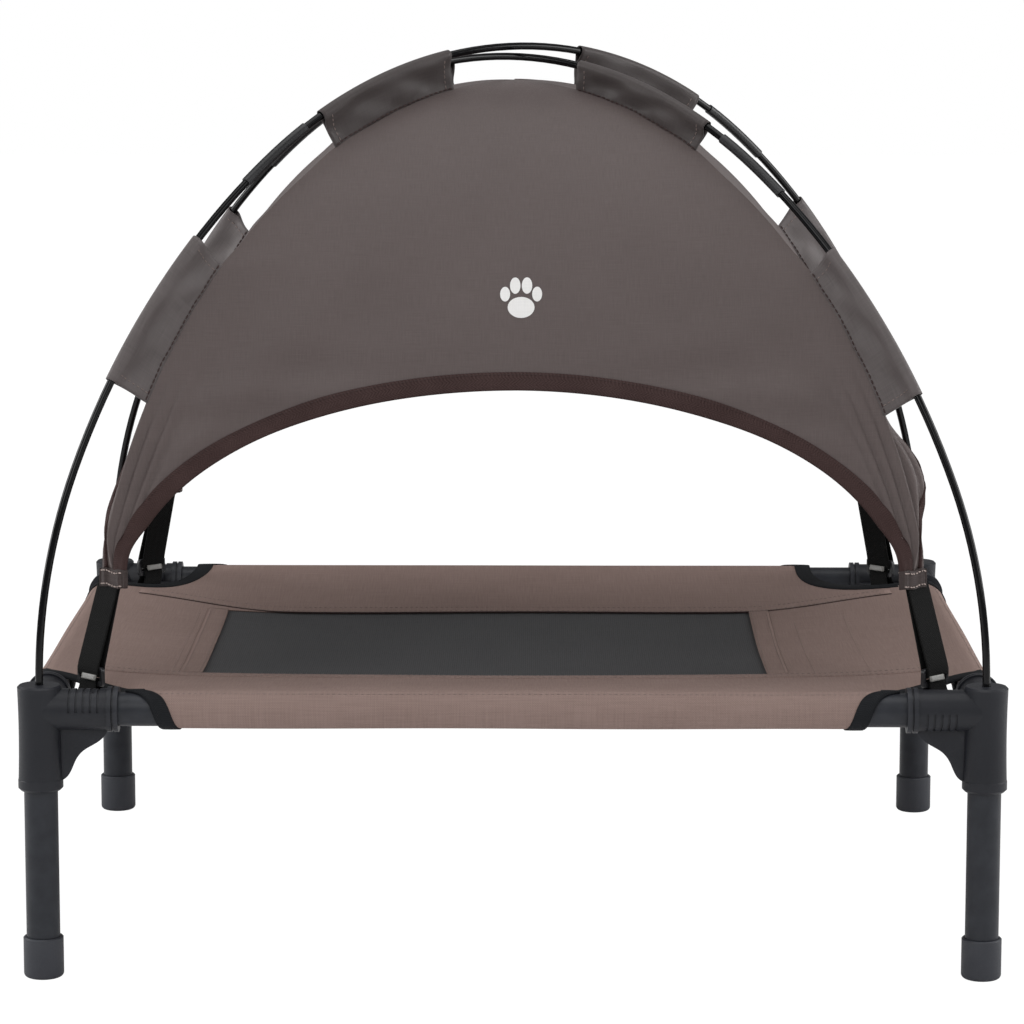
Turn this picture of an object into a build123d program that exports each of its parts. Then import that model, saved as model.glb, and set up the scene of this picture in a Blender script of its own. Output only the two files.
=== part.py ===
"""Raised dog bed with a canopy: steel tube cot, sling bed, and a tent canopy on two crossed poles.

Units are millimetres, +Z is up, +X runs along the long side and -Y is the front.
The origin is on the floor, under the middle of the bed.
"""
import os
from math import cos, pi, radians, sin, sqrt

from build123d import *

# ---------------------------------------------------------------- driving dimensions
LEG_SPACING_X = 726.0  # leg centre to leg centre along the long side
LEG_SPACING_Y = 576.0
RAIL_HEIGHT = 211.0  # centre line of the four rails

TUBE_RADIUS = 13.0  # legs and rails share one tube
TUBE_WALL = 1.2
SOCKET_CLEARANCE = 0.15  # radial gap of every push fit

FOOT_RADIUS = 15.5
FOOT_HEIGHT = 32.0
FOOT_FLOOR = 3.0

POST_RADIUS = 17.0
POST_BOTTOM = 148.0
POST_TOP = 230.0
POST_RIM_HEIGHT = 8.0
POST_RIM = 0.3
LEG_SOCKET_TOP = 186.0
ARM_RADIUS = 16.0
ARM_LENGTH = 61.0
ARM_SOCKET_START = 24.0
COLLAR_RADIUS = 17.5
COLLAR_RINGS = (52.5, 57.5)  # start of each end ring, measured from the post's centre
COLLAR_RING_WIDTH = 3.5
GRIP_GROOVES = (23.0, 28.5, 34.0, 39.5, 45.0)
GROOVE_WIDTH = 1.8
GROOVE_DEPTH = 1.0
GUSSET_THICKNESS = 4.0
STRAP_WEB_THICKNESS = 4.0
STRAP_WEB_EDGE = 50.0  # 45 degree distance from the post's centre to the web's free edge
STRAP_SLOT = (28.0, 5.0)
STRAP_BAR = 6.0

POLE_RADIUS = 3.0
POLE_HOLE_RADIUS = 3.4
POLE_HOLE_DEPTH = 40.0
POLE_RISE = 471.0  # post top to the poles' mean height where they cross
POLE_CROSSING = 8.4  # height between the two centre lines at the crossing
POLE_TOP_RADIUS = 407.0  # bend radius over the middle section
POLE_JOINT_ANGLE = 36.0  # slope of the pole where its sections join
POLE_LOWER_ANGLE = 66.0  # slope where the lower section's bend tightens
FERRULE_RADIUS = 4.0
FERRULE_LENGTH = 70.0
SEAT_GAP = 0.3  # clearance kept between pieces that move apart

SLEEVE_RADIUS = 4.6
SLEEVE_BORE = 3.5
SLEEVE_WEB = 1.4
SLEEVE_SPANS = {"upper": (9.6, 28.6), "lower": (45.6, 58.7)}  # pole slopes at both ends, degrees

CANOPY_HALF_SPAN = 415.0  # centre to ridge along the diagonal, at post-top height
CANOPY_RISE = 448.0  # post top to the canopy's crown
CANOPY_SPAN_POWER = 1.97
CANOPY_RISE_POWER = 1.92
CANOPY_CLOTH = 1.5
CANOPY_HEM = 313.0  # lowest edge of the cloth, above the corner bands
ARCH_BASE = 300.0
ARCH_RISE = 152.0
ARCH_HALF_WIDTH = {"front": 298.0, "back": 298.0, "left": 236.0, "right": 236.0}
BINDING_WIDTH = 13.0
BINDING_CLOTH = 1.0

BED_CLOTH = 1.4
BED_CLEARANCE = 0.3
BED_SAG = 15.0  # drop from the rails to the mesh window
SEAM_DROP = 0.15  # how far the bed sits below the tops of its own pockets
MESH_SIZE = (454.0, 276.0)
MESH_OFFSET_X = -23.0
CORNER_CUT = 74.0  # corner cut-out, from the post's centre
CORNER_CUT_RADIUS = 34.0
CORNER_BINDING = 11.0
CORNER_BINDING_CLOTH = 1.0
BINDING_GAP = 0.15  # between the binding and the cloth under it
POCKET_GAP = 0.05  # between the pockets and the top that is sewn to them

STRAP_WIDTH = 25.0
STRAP_THICKNESS = 1.6
STRAP_FOOT = (36.5, 36.0, 238.6)  # inward from the post's centre, and height
STRAP_HEAD = (54.0, 44.0, 298.2)
HEM_BAND_SIZE = (29.0, 7.0)
HEM_BAND_HEIGHT = (298.5, 312.6)
BUCKLE_SIZE = (30.0, 15.0)
BUCKLE_THICKNESS = 3.6
BUCKLE_BOTTOM = 223.0
BUCKLE_DISTANCE = 51.0  # 45 degree distance from the post's centre
BUCKLE_SLOT = (24.0, 5.5)
BUCKLE_BAR = 4.0
LOOP_WIDTH = 20.0
LOOP_THICKNESS = 1.2

# ---------------------------------------------------------------- derived values
HALF_X = LEG_SPACING_X / 2
HALF_Y = LEG_SPACING_Y / 2
HALF_DIAGONAL = sqrt(HALF_X**2 + HALF_Y**2)
SPREAD_X = HALF_X / HALF_DIAGONAL
SPREAD_Y = HALF_Y / HALF_DIAGONAL
SOCKET_RADIUS = TUBE_RADIUS + SOCKET_CLEARANCE
BED_INNER = TUBE_RADIUS + BED_CLEARANCE
BED_OUTER = BED_INNER + BED_CLOTH
FRAME_REACH = HALF_X + 40.0  # past every piece of the frame

CORNERS = {
    "front_left": (-1, -1),
    "front_right": (1, -1),
    "back_left": (-1, 1),
    "back_right": (1, 1),
}


def save(piece, name):
    """Label a finished piece and write it out."""
    piece.part.label = name
    export_step(piece.part, f"parts/{name}.step")


def post_centre(corner):
    side_x, side_y = CORNERS[corner]
    return side_x * HALF_X, side_y * HALF_Y


def inward(corner, along_x, along_y, height):
    """A point measured inwards from a post's centre line."""
    side_x, side_y = CORNERS[corner]
    centre_x, centre_y = post_centre(corner)
    return Vector(centre_x - side_x * along_x, centre_y - side_y * along_y, height)


def corner_plane(corner, along_x, along_y, height):
    """A vertical plane across a corner at 45 degrees, facing outwards, with its Y axis up."""
    side_x, side_y = CORNERS[corner]
    return Plane(
        origin=inward(corner, along_x, along_y, height),
        x_dir=(-side_y * 1.0, side_x * 1.0, 0),
        z_dir=(side_x, side_y, 0),
    )


# ---------------------------------------------------------------- cot frame
def make_leg(corner):
    centre_x, centre_y = post_centre(corner)
    with BuildPart() as leg:
        with BuildSketch(Plane.XY.offset(FOOT_FLOOR)):
            with Locations((centre_x, centre_y)):
                Circle(TUBE_RADIUS)
                Circle(TUBE_RADIUS - TUBE_WALL, mode=Mode.SUBTRACT)
        extrude(amount=LEG_SOCKET_TOP - 1.0 - FOOT_FLOOR)
    save(leg, f"leg_{corner}")


def make_foot_cap(corner):
    centre_x, centre_y = post_centre(corner)
    with BuildPart() as cap:
        with BuildSketch():
            with Locations((centre_x, centre_y)):
                Circle(FOOT_RADIUS)
        extrude(amount=FOOT_HEIGHT)
        fillet(cap.edges().sort_by(Axis.Z)[0], radius=3.5)
        chamfer(cap.edges().sort_by(Axis.Z)[-1], length=0.8)
        with BuildSketch(Plane.XY.offset(FOOT_FLOOR)):
            with Locations((centre_x, centre_y)):
                Circle(SOCKET_RADIUS)
        extrude(amount=FOOT_HEIGHT, mode=Mode.SUBTRACT)
    save(cap, f"foot_cap_{corner}")


def make_rail(name, along, reach, side, distance):
    """One rail tube between two connectors, centred on the bed."""
    origin = [0, 0, RAIL_HEIGHT]
    origin[0 if along == "y" else 1] = side * distance
    normal = (1, 0, 0) if along == "x" else (0, 1, 0)
    with BuildPart() as rail:
        with BuildSketch(Plane(origin=tuple(origin), z_dir=normal)):
            Circle(TUBE_RADIUS)
            Circle(TUBE_RADIUS - TUBE_WALL, mode=Mode.SUBTRACT)
        extrude(amount=reach - ARM_SOCKET_START - 1.0, both=True)
    save(rail, f"rail_{name}")


def make_connector(corner):
    """Corner casting: a post, two arms with grip grooves, gussets, and a slotted strap web."""
    side_x, side_y = CORNERS[corner]
    centre_x, centre_y = post_centre(corner)
    axis_plane = Plane(origin=(centre_x, centre_y, 0), z_dir=(0, -1, 0), x_dir=(1, 0, 0))
    arms = (
        Plane(origin=(centre_x, centre_y, RAIL_HEIGHT), z_dir=(-side_x, 0, 0), x_dir=(0, 1, 0)),
        Plane(origin=(centre_x, centre_y, RAIL_HEIGHT), z_dir=(0, -side_y, 0), x_dir=(1, 0, 0)),
    )
    gussets = (
        Plane(origin=(centre_x, centre_y, 0), x_dir=(-side_x, 0, 0), z_dir=(0, side_x, 0)),
        Plane(origin=(centre_x, centre_y, 0), x_dir=(0, -side_y, 0), z_dir=(-side_y, 0, 0)),
    )
    with BuildPart() as connector:
        with BuildSketch(axis_plane):
            with BuildLine():
                waist = POST_RADIUS - 0.7
                rim = POST_RADIUS + POST_RIM
                rim_top = POST_BOTTOM + POST_RIM_HEIGHT
                Polyline((0, POST_TOP), (0, POST_BOTTOM), (rim - 2.0, POST_BOTTOM))
                Line((rim - 2.0, POST_BOTTOM), (rim, POST_BOTTOM + 2.0))
                Line((rim, POST_BOTTOM + 2.0), (rim, rim_top))
                Line((rim, rim_top), (POST_RADIUS, rim_top + 1.0))
                ThreePointArc(
                    (POST_RADIUS, rim_top + 1.0),
                    (waist, (rim_top + POST_TOP) / 2),
                    (POST_RADIUS, POST_TOP - 1.5),
                )
                Line((POST_RADIUS, POST_TOP - 1.5), (POST_RADIUS - 1.5, POST_TOP))
                Line((POST_RADIUS - 1.5, POST_TOP), (0, POST_TOP))
            make_face()
        revolve(axis=Axis((centre_x, centre_y, 0), (0, 0, 1)))

        for arm in arms:
            with BuildSketch(arm):
                Circle(ARM_RADIUS)
            extrude(amount=ARM_LENGTH)
            for start in COLLAR_RINGS:
                with BuildSketch(arm.offset(start)):
                    Circle(COLLAR_RADIUS)
                extrude(amount=COLLAR_RING_WIDTH)
            for start in GRIP_GROOVES:
                with BuildSketch(arm.offset(start)):
                    Circle(ARM_RADIUS + 1.0)
                    Circle(ARM_RADIUS - GROOVE_DEPTH, mode=Mode.SUBTRACT)
                    with Locations((0, -ARM_RADIUS)):
                        Rectangle(3 * ARM_RADIUS, 2 * ARM_RADIUS, mode=Mode.SUBTRACT)
                extrude(amount=GROOVE_WIDTH, mode=Mode.SUBTRACT)

        for gusset in gussets:
            with BuildSketch(gusset):
                with BuildLine():
                    outer = (ARM_LENGTH - 8.0, RAIL_HEIGHT - ARM_RADIUS + 2.0)
                    lower = (POST_RADIUS - 2.0, POST_BOTTOM + 7.0)
                    Spline(outer, (42.0, 184.0), (32.5, 178.0), (26.5, 169.5), (22.0, 160.0), lower)
                    Polyline(lower, (POST_RADIUS - 2.0, outer[1]), outer)
                make_face()
            extrude(amount=GUSSET_THICKNESS / 2, both=True)

        with BuildSketch(Plane.XY.offset(RAIL_HEIGHT)):
            edge = STRAP_WEB_EDGE * sqrt(2)
            near, far = ARM_RADIUS - 3.0, edge - ARM_RADIUS + 3.0
            web = [inward(corner, *place, 0) for place in ((far, near), (near, far), (near, near))]
            Polygon(*((point.X, point.Y) for point in web), align=None)
            slot_at = (STRAP_WEB_EDGE - STRAP_BAR - STRAP_SLOT[1] / 2) / sqrt(2)
            slot = inward(corner, slot_at, slot_at, 0)
            with Locations((slot.X, slot.Y)):
                Rectangle(*STRAP_SLOT, rotation=-45 * side_x * side_y, mode=Mode.SUBTRACT)
        extrude(amount=STRAP_WEB_THICKNESS / 2, both=True)

        for arm in arms:
            with BuildSketch(arm.offset(ARM_SOCKET_START)):
                Circle(SOCKET_RADIUS)
            extrude(amount=ARM_LENGTH, mode=Mode.SUBTRACT)
        with BuildSketch(Plane.XY.offset(POST_BOTTOM)):
            with Locations((centre_x, centre_y)):
                Circle(SOCKET_RADIUS)
        extrude(amount=LEG_SOCKET_TOP - POST_BOTTOM, mode=Mode.SUBTRACT)
        with BuildSketch(Plane.XY.offset(POST_TOP - POLE_HOLE_DEPTH)):
            with Locations((centre_x, centre_y)):
                Circle(POLE_HOLE_RADIUS)
        extrude(amount=POLE_HOLE_DEPTH, mode=Mode.SUBTRACT)
    save(connector, f"corner_connector_{corner}")


# ---------------------------------------------------------------- sling bed
def basin(top):
    """The shallow hollow over the bed, filled, from its rim at this height down to the mesh window."""
    with BuildPart() as hollow:
        with BuildSketch(Plane.XY.offset(top)):
            Rectangle(LEG_SPACING_X, LEG_SPACING_Y)
        with BuildSketch(Plane.XY.offset(top - BED_SAG)):
            with Locations((MESH_OFFSET_X, 0)):
                Rectangle(*MESH_SIZE)
        loft()
    return hollow.part


def rail_tubes(radius, shorten):
    """Round bars along the four rails, each shortened at both ends."""
    with BuildPart() as tubes:
        for side in (-1, 1):
            with BuildSketch(Plane(origin=(0, side * HALF_Y, RAIL_HEIGHT), z_dir=(1, 0, 0))):
                Circle(radius)
            extrude(amount=HALF_X - shorten, both=True)
            with BuildSketch(Plane(origin=(side * HALF_X, 0, RAIL_HEIGHT), z_dir=(0, 1, 0))):
                Circle(radius)
            extrude(amount=HALF_Y - shorten, both=True)
    return tubes.part


def sling_top(inner, outer):
    """The bed's top between two distances from the rail centres, a basin round the mesh window."""
    rim = RAIL_HEIGHT + outer - SEAM_DROP
    thickness = outer - inner
    with BuildPart() as top:
        add(basin(rim - thickness))
        with BuildSketch(Plane.XY.offset(rim - thickness)):
            Rectangle(LEG_SPACING_X, LEG_SPACING_Y)
        extrude(amount=thickness)
        add(basin(rim), mode=Mode.SUBTRACT)
        with BuildSketch(Plane.XY.offset(rim - 2 * BED_SAG)):
            with Locations((MESH_OFFSET_X, 0)):
                Rectangle(*MESH_SIZE)
        extrude(amount=3 * BED_SAG, mode=Mode.SUBTRACT)
        add(rail_tubes(BED_OUTER + POCKET_GAP, 0), mode=Mode.SUBTRACT)
    return top.part


def pocket_skin(side, inner, outer, shorten):
    """Cloth tube round one rail, between two distances from its centre."""
    along_x = side in ("front", "back")
    toward = 1 if side in ("back", "right") else -1
    if along_x:
        plane = Plane(origin=(0, toward * HALF_Y, RAIL_HEIGHT), z_dir=(1, 0, 0))
    else:
        plane = Plane(origin=(toward * HALF_X, 0, RAIL_HEIGHT), z_dir=(0, 1, 0))
    with BuildPart() as pocket:
        with BuildSketch(plane):
            Circle(outer)
            Circle(inner, mode=Mode.SUBTRACT)
        extrude(amount=(HALF_X if along_x else HALF_Y) - shorten, both=True)
    return pocket.part


def corner_cut_sketch(corner, grow):
    """Plan of one corner cut-out, grown inwards all round."""
    side_x, side_y = CORNERS[corner]
    reach = CORNER_CUT + grow
    outside = 60.0
    with BuildSketch() as plan:
        with Locations(inward(corner, (reach - outside) / 2, (reach - outside) / 2, 0)):
            RectangleRounded(reach + outside, reach + outside, CORNER_CUT_RADIUS + grow)
    return plan.sketch


def make_bed_cover():
    """The cover's top, with its four corner cut-outs."""
    with BuildPart() as cover:
        add(sling_top(BED_INNER, BED_OUTER))
        for corner in CORNERS:
            with BuildSketch(Plane.XY.offset(RAIL_HEIGHT - 2 * BED_OUTER)):
                add(corner_cut_sketch(corner, 0))
            extrude(amount=4 * BED_OUTER, mode=Mode.SUBTRACT)
    save(cover, "bed_cover")
    return cover.part


def make_bed_pocket(side):
    """The pocket that one rail runs through."""
    with BuildPart() as pocket:
        add(pocket_skin(side, BED_INNER, BED_OUTER, CORNER_CUT))
    save(pocket, f"bed_pocket_{side}")


def make_corner_bindings(cover):
    """Bound edges of the four corner cut-outs, lying on the cloth and round the pocket ends."""
    inner, outer = BED_OUTER + BINDING_GAP, BED_OUTER + CORNER_BINDING_CLOTH
    with BuildPart() as bindings:
        add(sling_top(inner, outer))
        for side in ARCH_HALF_WIDTH:
            add(pocket_skin(side, inner, outer, CORNER_CUT - CORNER_BINDING))
        with BuildSketch(Plane.XY.offset(RAIL_HEIGHT - 2 * BED_OUTER)):
            for corner in CORNERS:
                add(corner_cut_sketch(corner, CORNER_BINDING))
            for corner in CORNERS:
                add(corner_cut_sketch(corner, 0), mode=Mode.SUBTRACT)
        extrude(amount=4 * BED_OUTER, mode=Mode.INTERSECT)
        add(cover, mode=Mode.SUBTRACT)
    save(bindings, "bed_corner_bindings")


def make_mesh_panel():
    with BuildPart() as mesh:
        with BuildSketch(Plane.XY.offset(RAIL_HEIGHT + BED_INNER - SEAM_DROP - BED_SAG)):
            with Locations((MESH_OFFSET_X, 0)):
                Rectangle(*MESH_SIZE)
        extrude(amount=BED_CLOTH)
    save(mesh, "mesh_panel")


# ---------------------------------------------------------------- canopy poles
def pole_profile(crossing_height):
    """Radii, centres and end points of one half pole, as (distance out, height) pairs."""
    top, low = radians(POLE_JOINT_ANGLE), radians(POLE_LOWER_ANGLE)
    rise = POLE_RISE + crossing_height
    span_left = HALF_DIAGONAL - POLE_TOP_RADIUS * sin(top)
    rise_left = rise - POLE_TOP_RADIUS * (1 - cos(top))
    matrix = ((sin(low) - sin(top), 1 - sin(low)), (cos(top) - cos(low), cos(low)))
    determinant = matrix[0][0] * matrix[1][1] - matrix[0][1] * matrix[1][0]
    middle = (span_left * matrix[1][1] - matrix[0][1] * rise_left) / determinant
    bottom = (matrix[0][0] * rise_left - span_left * matrix[1][0]) / determinant
    arcs = []
    out, height = 0.0, POST_TOP + rise
    for radius, start, finish in (
        (POLE_TOP_RADIUS, 0.0, top),
        (middle, top, low),
        (bottom, low, pi / 2),
    ):
        centre = (out - radius * sin(start), height - radius * cos(start))
        arcs.append((radius, centre, start, finish))
        out = centre[0] + radius * sin(finish)
        height = centre[1] + radius * cos(finish)
    return arcs


def pole_point(arcs, slope):
    """The (distance out, height) of the half pole where it slopes down at this angle."""
    for radius, centre, start, finish in arcs:
        if start - 1e-9 <= slope <= finish + 1e-9:
            return centre[0] + radius * sin(slope), centre[1] + radius * cos(slope)
    raise ValueError("slope is past the end of the pole")


def slope_at(arcs, length):
    """The slope at this length along the half pole, measured from the crossing."""
    for radius, _, start, finish in arcs:
        if length <= radius * (finish - start):
            return start + length / radius
        length -= radius * (finish - start)
    raise ValueError("length is past the end of the pole")


def pole_plane(corner):
    """Vertical plane through a pole, its X axis running out to this corner."""
    side_x, side_y = CORNERS[corner]
    out = Vector(side_x * SPREAD_X, side_y * SPREAD_Y, 0)
    return Plane(origin=(0, 0, 0), x_dir=out, z_dir=out.cross(Vector(0, 0, 1)))


def pole_arc(arcs, start, finish):
    return ThreePointArc(
        pole_point(arcs, start),
        pole_point(arcs, (start + finish) / 2),
        pole_point(arcs, finish),
    )


def make_pole(name, corners, crossing_height):
    """One pole: a bent middle section and two lower sections that end inside the posts."""
    arcs = pole_profile(crossing_height)
    joint, low = radians(POLE_JOINT_ANGLE), radians(POLE_LOWER_ANGLE)
    joint_out, joint_height = pole_point(arcs, joint)
    crown = pole_point(arcs, 0)
    with BuildPart() as middle:
        with BuildLine(pole_plane(corners[0])) as path:
            ThreePointArc((-joint_out, joint_height), crown, (joint_out, joint_height))
        with BuildSketch(path.line ^ 0):
            Circle(POLE_RADIUS)
        sweep()
    save(middle, f"{name}_middle")

    seat = POST_TOP - POLE_HOLE_DEPTH + SEAT_GAP
    for corner in corners:
        with BuildPart() as lower:
            with BuildLine(pole_plane(corner)) as path:
                pole_arc(arcs, joint, low)
                pole_arc(arcs, low, pi / 2)
                Line((HALF_DIAGONAL, POST_TOP), (HALF_DIAGONAL, seat))
            with BuildSketch(path.line ^ 0):
                Circle(POLE_RADIUS)
            sweep()
        save(lower, f"{name}_{corner}")


def make_ferrules(poles):
    """Four metal sleeves over the joints between pole sections."""
    with BuildPart() as ferrules:
        for corners, crossing_height in poles:
            arcs = pole_profile(crossing_height)
            joint = radians(POLE_JOINT_ANGLE)
            middle = POLE_TOP_RADIUS * joint
            first = slope_at(arcs, middle - FERRULE_LENGTH / 2)
            last = slope_at(arcs, middle + FERRULE_LENGTH / 2)
            for corner in corners:
                with BuildLine(pole_plane(corner)) as path:
                    pole_arc(arcs, first, joint)
                    pole_arc(arcs, joint, last)
                with BuildSketch(path.line ^ 0):
                    Circle(FERRULE_RADIUS)
                    Circle(POLE_RADIUS + 0.1, mode=Mode.SUBTRACT)
                sweep()
    save(ferrules, "pole_ferrules")


# ---------------------------------------------------------------- canopy cloth
def vault_points(half_span, rise, lowest, count=9):
    """Points down a super-ellipse from its crown to a lowest height, as (distance out, height)."""
    reach = (max(lowest - POST_TOP, 0) / rise) ** (CANOPY_RISE_POWER / 2)
    first = (1 - reach**2) ** 0.5
    points = []
    for step in range(count):
        across = first * sin(pi / 2 * step / (count - 1))
        up = (1 - across**2) ** 0.5
        out = half_span * across ** (2 / CANOPY_SPAN_POWER)
        points.append((out, POST_TOP + rise * up ** (2 / CANOPY_RISE_POWER)))
    return points


def vault_wall(side, inner_grow, outer_grow):
    """Curved strip of cloth for one side, as wide as the bed, between two offsets of the vault."""
    long_side = side in ("front", "back")
    half_span = CANOPY_HALF_SPAN * (SPREAD_Y if long_side else SPREAD_X)
    facing = {"front": (0, -1, 0), "back": (0, 1, 0), "left": (-1, 0, 0), "right": (1, 0, 0)}[side]
    plane = Plane(origin=(0, 0, 0), x_dir=facing, z_dir=Vector(facing).cross(Vector(0, 0, 1)))
    outer = vault_points(half_span + outer_grow, CANOPY_RISE + outer_grow, CANOPY_HEM)
    inner = vault_points(half_span + inner_grow, CANOPY_RISE + inner_grow, CANOPY_HEM)
    with BuildPart() as wall:
        with BuildSketch(plane):
            with BuildLine():
                Spline(*outer)
                Line(outer[-1], inner[-1])
                Spline(*reversed(inner))
                Line(inner[0], outer[0])
            make_face()
        extrude(amount=FRAME_REACH, both=True)
        with BuildSketch():
            Polygon(*wedge_corners(side), align=None)
        extrude(amount=POST_TOP + 2 * CANOPY_RISE, mode=Mode.INTERSECT)
    return wall.part


def wedge_corners(side):
    """Plan triangle from the centre to the two corner directions of one side."""
    far_x, far_y = 1.5 * HALF_X, 1.5 * HALF_Y
    ends = {
        "front": ((-far_x, -far_y), (far_x, -far_y)),
        "back": ((far_x, far_y), (-far_x, far_y)),
        "left": ((-far_x, far_y), (-far_x, -far_y)),
        "right": ((far_x, -far_y), (far_x, far_y)),
    }[side]
    return ((0, 0),) + ends


def doorway_plane(side):
    across = {"front": (1, 0, 0), "back": (-1, 0, 0), "left": (0, -1, 0), "right": (0, 1, 0)}[side]
    return Plane(origin=(0, 0, ARCH_BASE), x_dir=across, z_dir=Vector(across).cross(Vector(0, 0, 1)))


def make_canopy_panel(side):
    with BuildPart() as panel:
        add(vault_wall(side, -CANOPY_CLOTH, 0))
        with BuildSketch(doorway_plane(side)):
            Ellipse(ARCH_HALF_WIDTH[side], ARCH_RISE)
        extrude(amount=FRAME_REACH, mode=Mode.SUBTRACT)
    save(panel, f"canopy_panel_{side}")


def make_arch_binding(side):
    with BuildPart() as binding:
        add(vault_wall(side, 0, BINDING_CLOTH))
        with BuildSketch(doorway_plane(side)):
            Ellipse(ARCH_HALF_WIDTH[side] + BINDING_WIDTH, ARCH_RISE + BINDING_WIDTH)
            Ellipse(ARCH_HALF_WIDTH[side], ARCH_RISE, mode=Mode.SUBTRACT)
        extrude(amount=FRAME_REACH, mode=Mode.INTERSECT)
    save(binding, f"arch_binding_{side}")


def make_pole_sleeve(place, corner, crossing_height):
    """Cloth sleeve round a pole with its flap, which reaches down to the canopy's ridge."""
    arcs = pole_profile(crossing_height)
    start, finish = (radians(angle) for angle in SLEEVE_SPANS[place])
    middle = (start + finish) / 2
    radius, centre, _, _ = next(arc for arc in arcs if arc[2] <= middle <= arc[3])

    def off_pole(slope, inwards):
        return centre[0] + (radius - inwards) * sin(slope), centre[1] + (radius - inwards) * cos(slope)

    ridge = vault_points(CANOPY_HALF_SPAN + 0.4, CANOPY_RISE + 0.4, CANOPY_HEM, 13)
    flap_depth = 60.0
    with BuildPart() as sleeve:
        with BuildSketch(pole_plane(corner)):
            with BuildLine():
                edge = SLEEVE_BORE + 0.4
                ThreePointArc(off_pole(start, edge), off_pole(middle, edge), off_pole(finish, edge))
                Line(off_pole(finish, edge), off_pole(finish, flap_depth))
                Line(off_pole(finish, flap_depth), off_pole(start, flap_depth))
                Line(off_pole(start, flap_depth), off_pole(start, edge))
            make_face()
            with BuildLine():
                Spline(*ridge)
                Polyline(ridge[-1], (0, CANOPY_HEM), ridge[0])
            make_face(mode=Mode.SUBTRACT)
        extrude(amount=SLEEVE_WEB / 2, both=True)
        with BuildLine(pole_plane(corner)) as path:
            pole_arc(arcs, start, finish)
        with BuildSketch(path.line ^ 0):
            Circle(SLEEVE_RADIUS)
            Circle(SLEEVE_BORE, mode=Mode.SUBTRACT)
        sweep()
    save(sleeve, f"sleeve_{place}_{corner}")


# ---------------------------------------------------------------- corner straps
def make_hem_band(corner):
    with BuildPart() as band:
        bottom, top = HEM_BAND_HEIGHT
        with BuildSketch(corner_plane(corner, STRAP_HEAD[0], STRAP_HEAD[1], bottom)):
            with Locations((0, (top - bottom) / 2)):
                Rectangle(HEM_BAND_SIZE[0], top - bottom)
        extrude(amount=HEM_BAND_SIZE[1] / 2, both=True)
        fillet(band.edges().filter_by(Axis.Z), radius=2.5)
    save(band, f"hem_band_{corner}")


def make_strap(corner):
    """Webbing strap from the buckle up to the canopy's corner band."""
    foot = inward(corner, *STRAP_FOOT)
    head = inward(corner, *STRAP_HEAD)
    side_x, side_y = CORNERS[corner]
    with BuildPart() as strap:
        with BuildSketch(Plane.XY.offset(foot.Z)):
            with Locations((foot.X, foot.Y)):
                Rectangle(STRAP_WIDTH, STRAP_THICKNESS, rotation=-45 * side_x * side_y)
        extrude(until=None, amount=(head - foot).length, dir=(head - foot).normalized())
    save(strap, f"strap_{corner}")


def make_buckle(corner):
    """Flat plastic buckle with one slot, hanging above the connector's strap web."""
    offset = BUCKLE_DISTANCE / sqrt(2)
    with BuildPart() as buckle:
        with BuildSketch(corner_plane(corner, offset, offset, BUCKLE_BOTTOM)):
            with Locations((0, BUCKLE_SIZE[1] / 2)):
                RectangleRounded(*BUCKLE_SIZE, 3.0)
            with Locations((0, BUCKLE_BAR + BUCKLE_SLOT[1] / 2)):
                RectangleRounded(*BUCKLE_SLOT, 1.0, mode=Mode.SUBTRACT)
        extrude(amount=BUCKLE_THICKNESS / 2, both=True)
    save(buckle, f"buckle_{corner}")


def make_strap_loops():
    """Webbing loops, one at each corner, that tie the buckles to the bars of the strap webs."""
    bar_middle = STRAP_WEB_EDGE - STRAP_BAR / 2
    gap = 0.4
    low = RAIL_HEIGHT - STRAP_WEB_THICKNESS / 2 - gap
    high = BUCKLE_BOTTOM + BUCKLE_BAR + gap
    reach = STRAP_BAR / 2 + gap
    lean = BUCKLE_DISTANCE - bar_middle
    grip = BUCKLE_THICKNESS / 2 + gap
    with BuildPart() as loops:
        for corner, (side_x, side_y) in CORNERS.items():
            along = Vector(-side_x, -side_y, 0).normalized()
            plane = Plane(
                origin=inward(corner, 0, 0, 0),
                x_dir=along,
                z_dir=along.cross(Vector(0, 0, 1)),
            )
            with BuildSketch(plane):
                with BuildLine() as inside:
                    Polyline(
                        (bar_middle - reach, low),
                        (bar_middle + reach, low),
                        (bar_middle + reach, RAIL_HEIGHT + STRAP_WEB_THICKNESS / 2 + gap),
                        (bar_middle + lean + grip, BUCKLE_BOTTOM - gap),
                        (bar_middle + lean + grip, high),
                        (bar_middle + lean - grip, high),
                        (bar_middle + lean - grip, BUCKLE_BOTTOM - gap),
                        (bar_middle - reach, RAIL_HEIGHT + STRAP_WEB_THICKNESS / 2 + gap),
                        close=True,
                    )
                make_face()
                offset(amount=LOOP_THICKNESS)
                make_face(inside.edges(), mode=Mode.SUBTRACT)
            extrude(amount=LOOP_WIDTH / 2, both=True)
    save(loops, "strap_loops")


os.makedirs("parts", exist_ok=True)

for corner_name in CORNERS:
    make_leg(corner_name)
    make_foot_cap(corner_name)
    make_connector(corner_name)

for name, side in (("front", -1), ("back", 1)):
    make_rail(name, "x", HALF_X, side, HALF_Y)
for name, side in (("left", -1), ("right", 1)):
    make_rail(name, "y", HALF_Y, side, HALF_X)

bed_cover = make_bed_cover()
make_corner_bindings(bed_cover)
make_mesh_panel()
for side_name in ARCH_HALF_WIDTH:
    make_bed_pocket(side_name)

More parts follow.
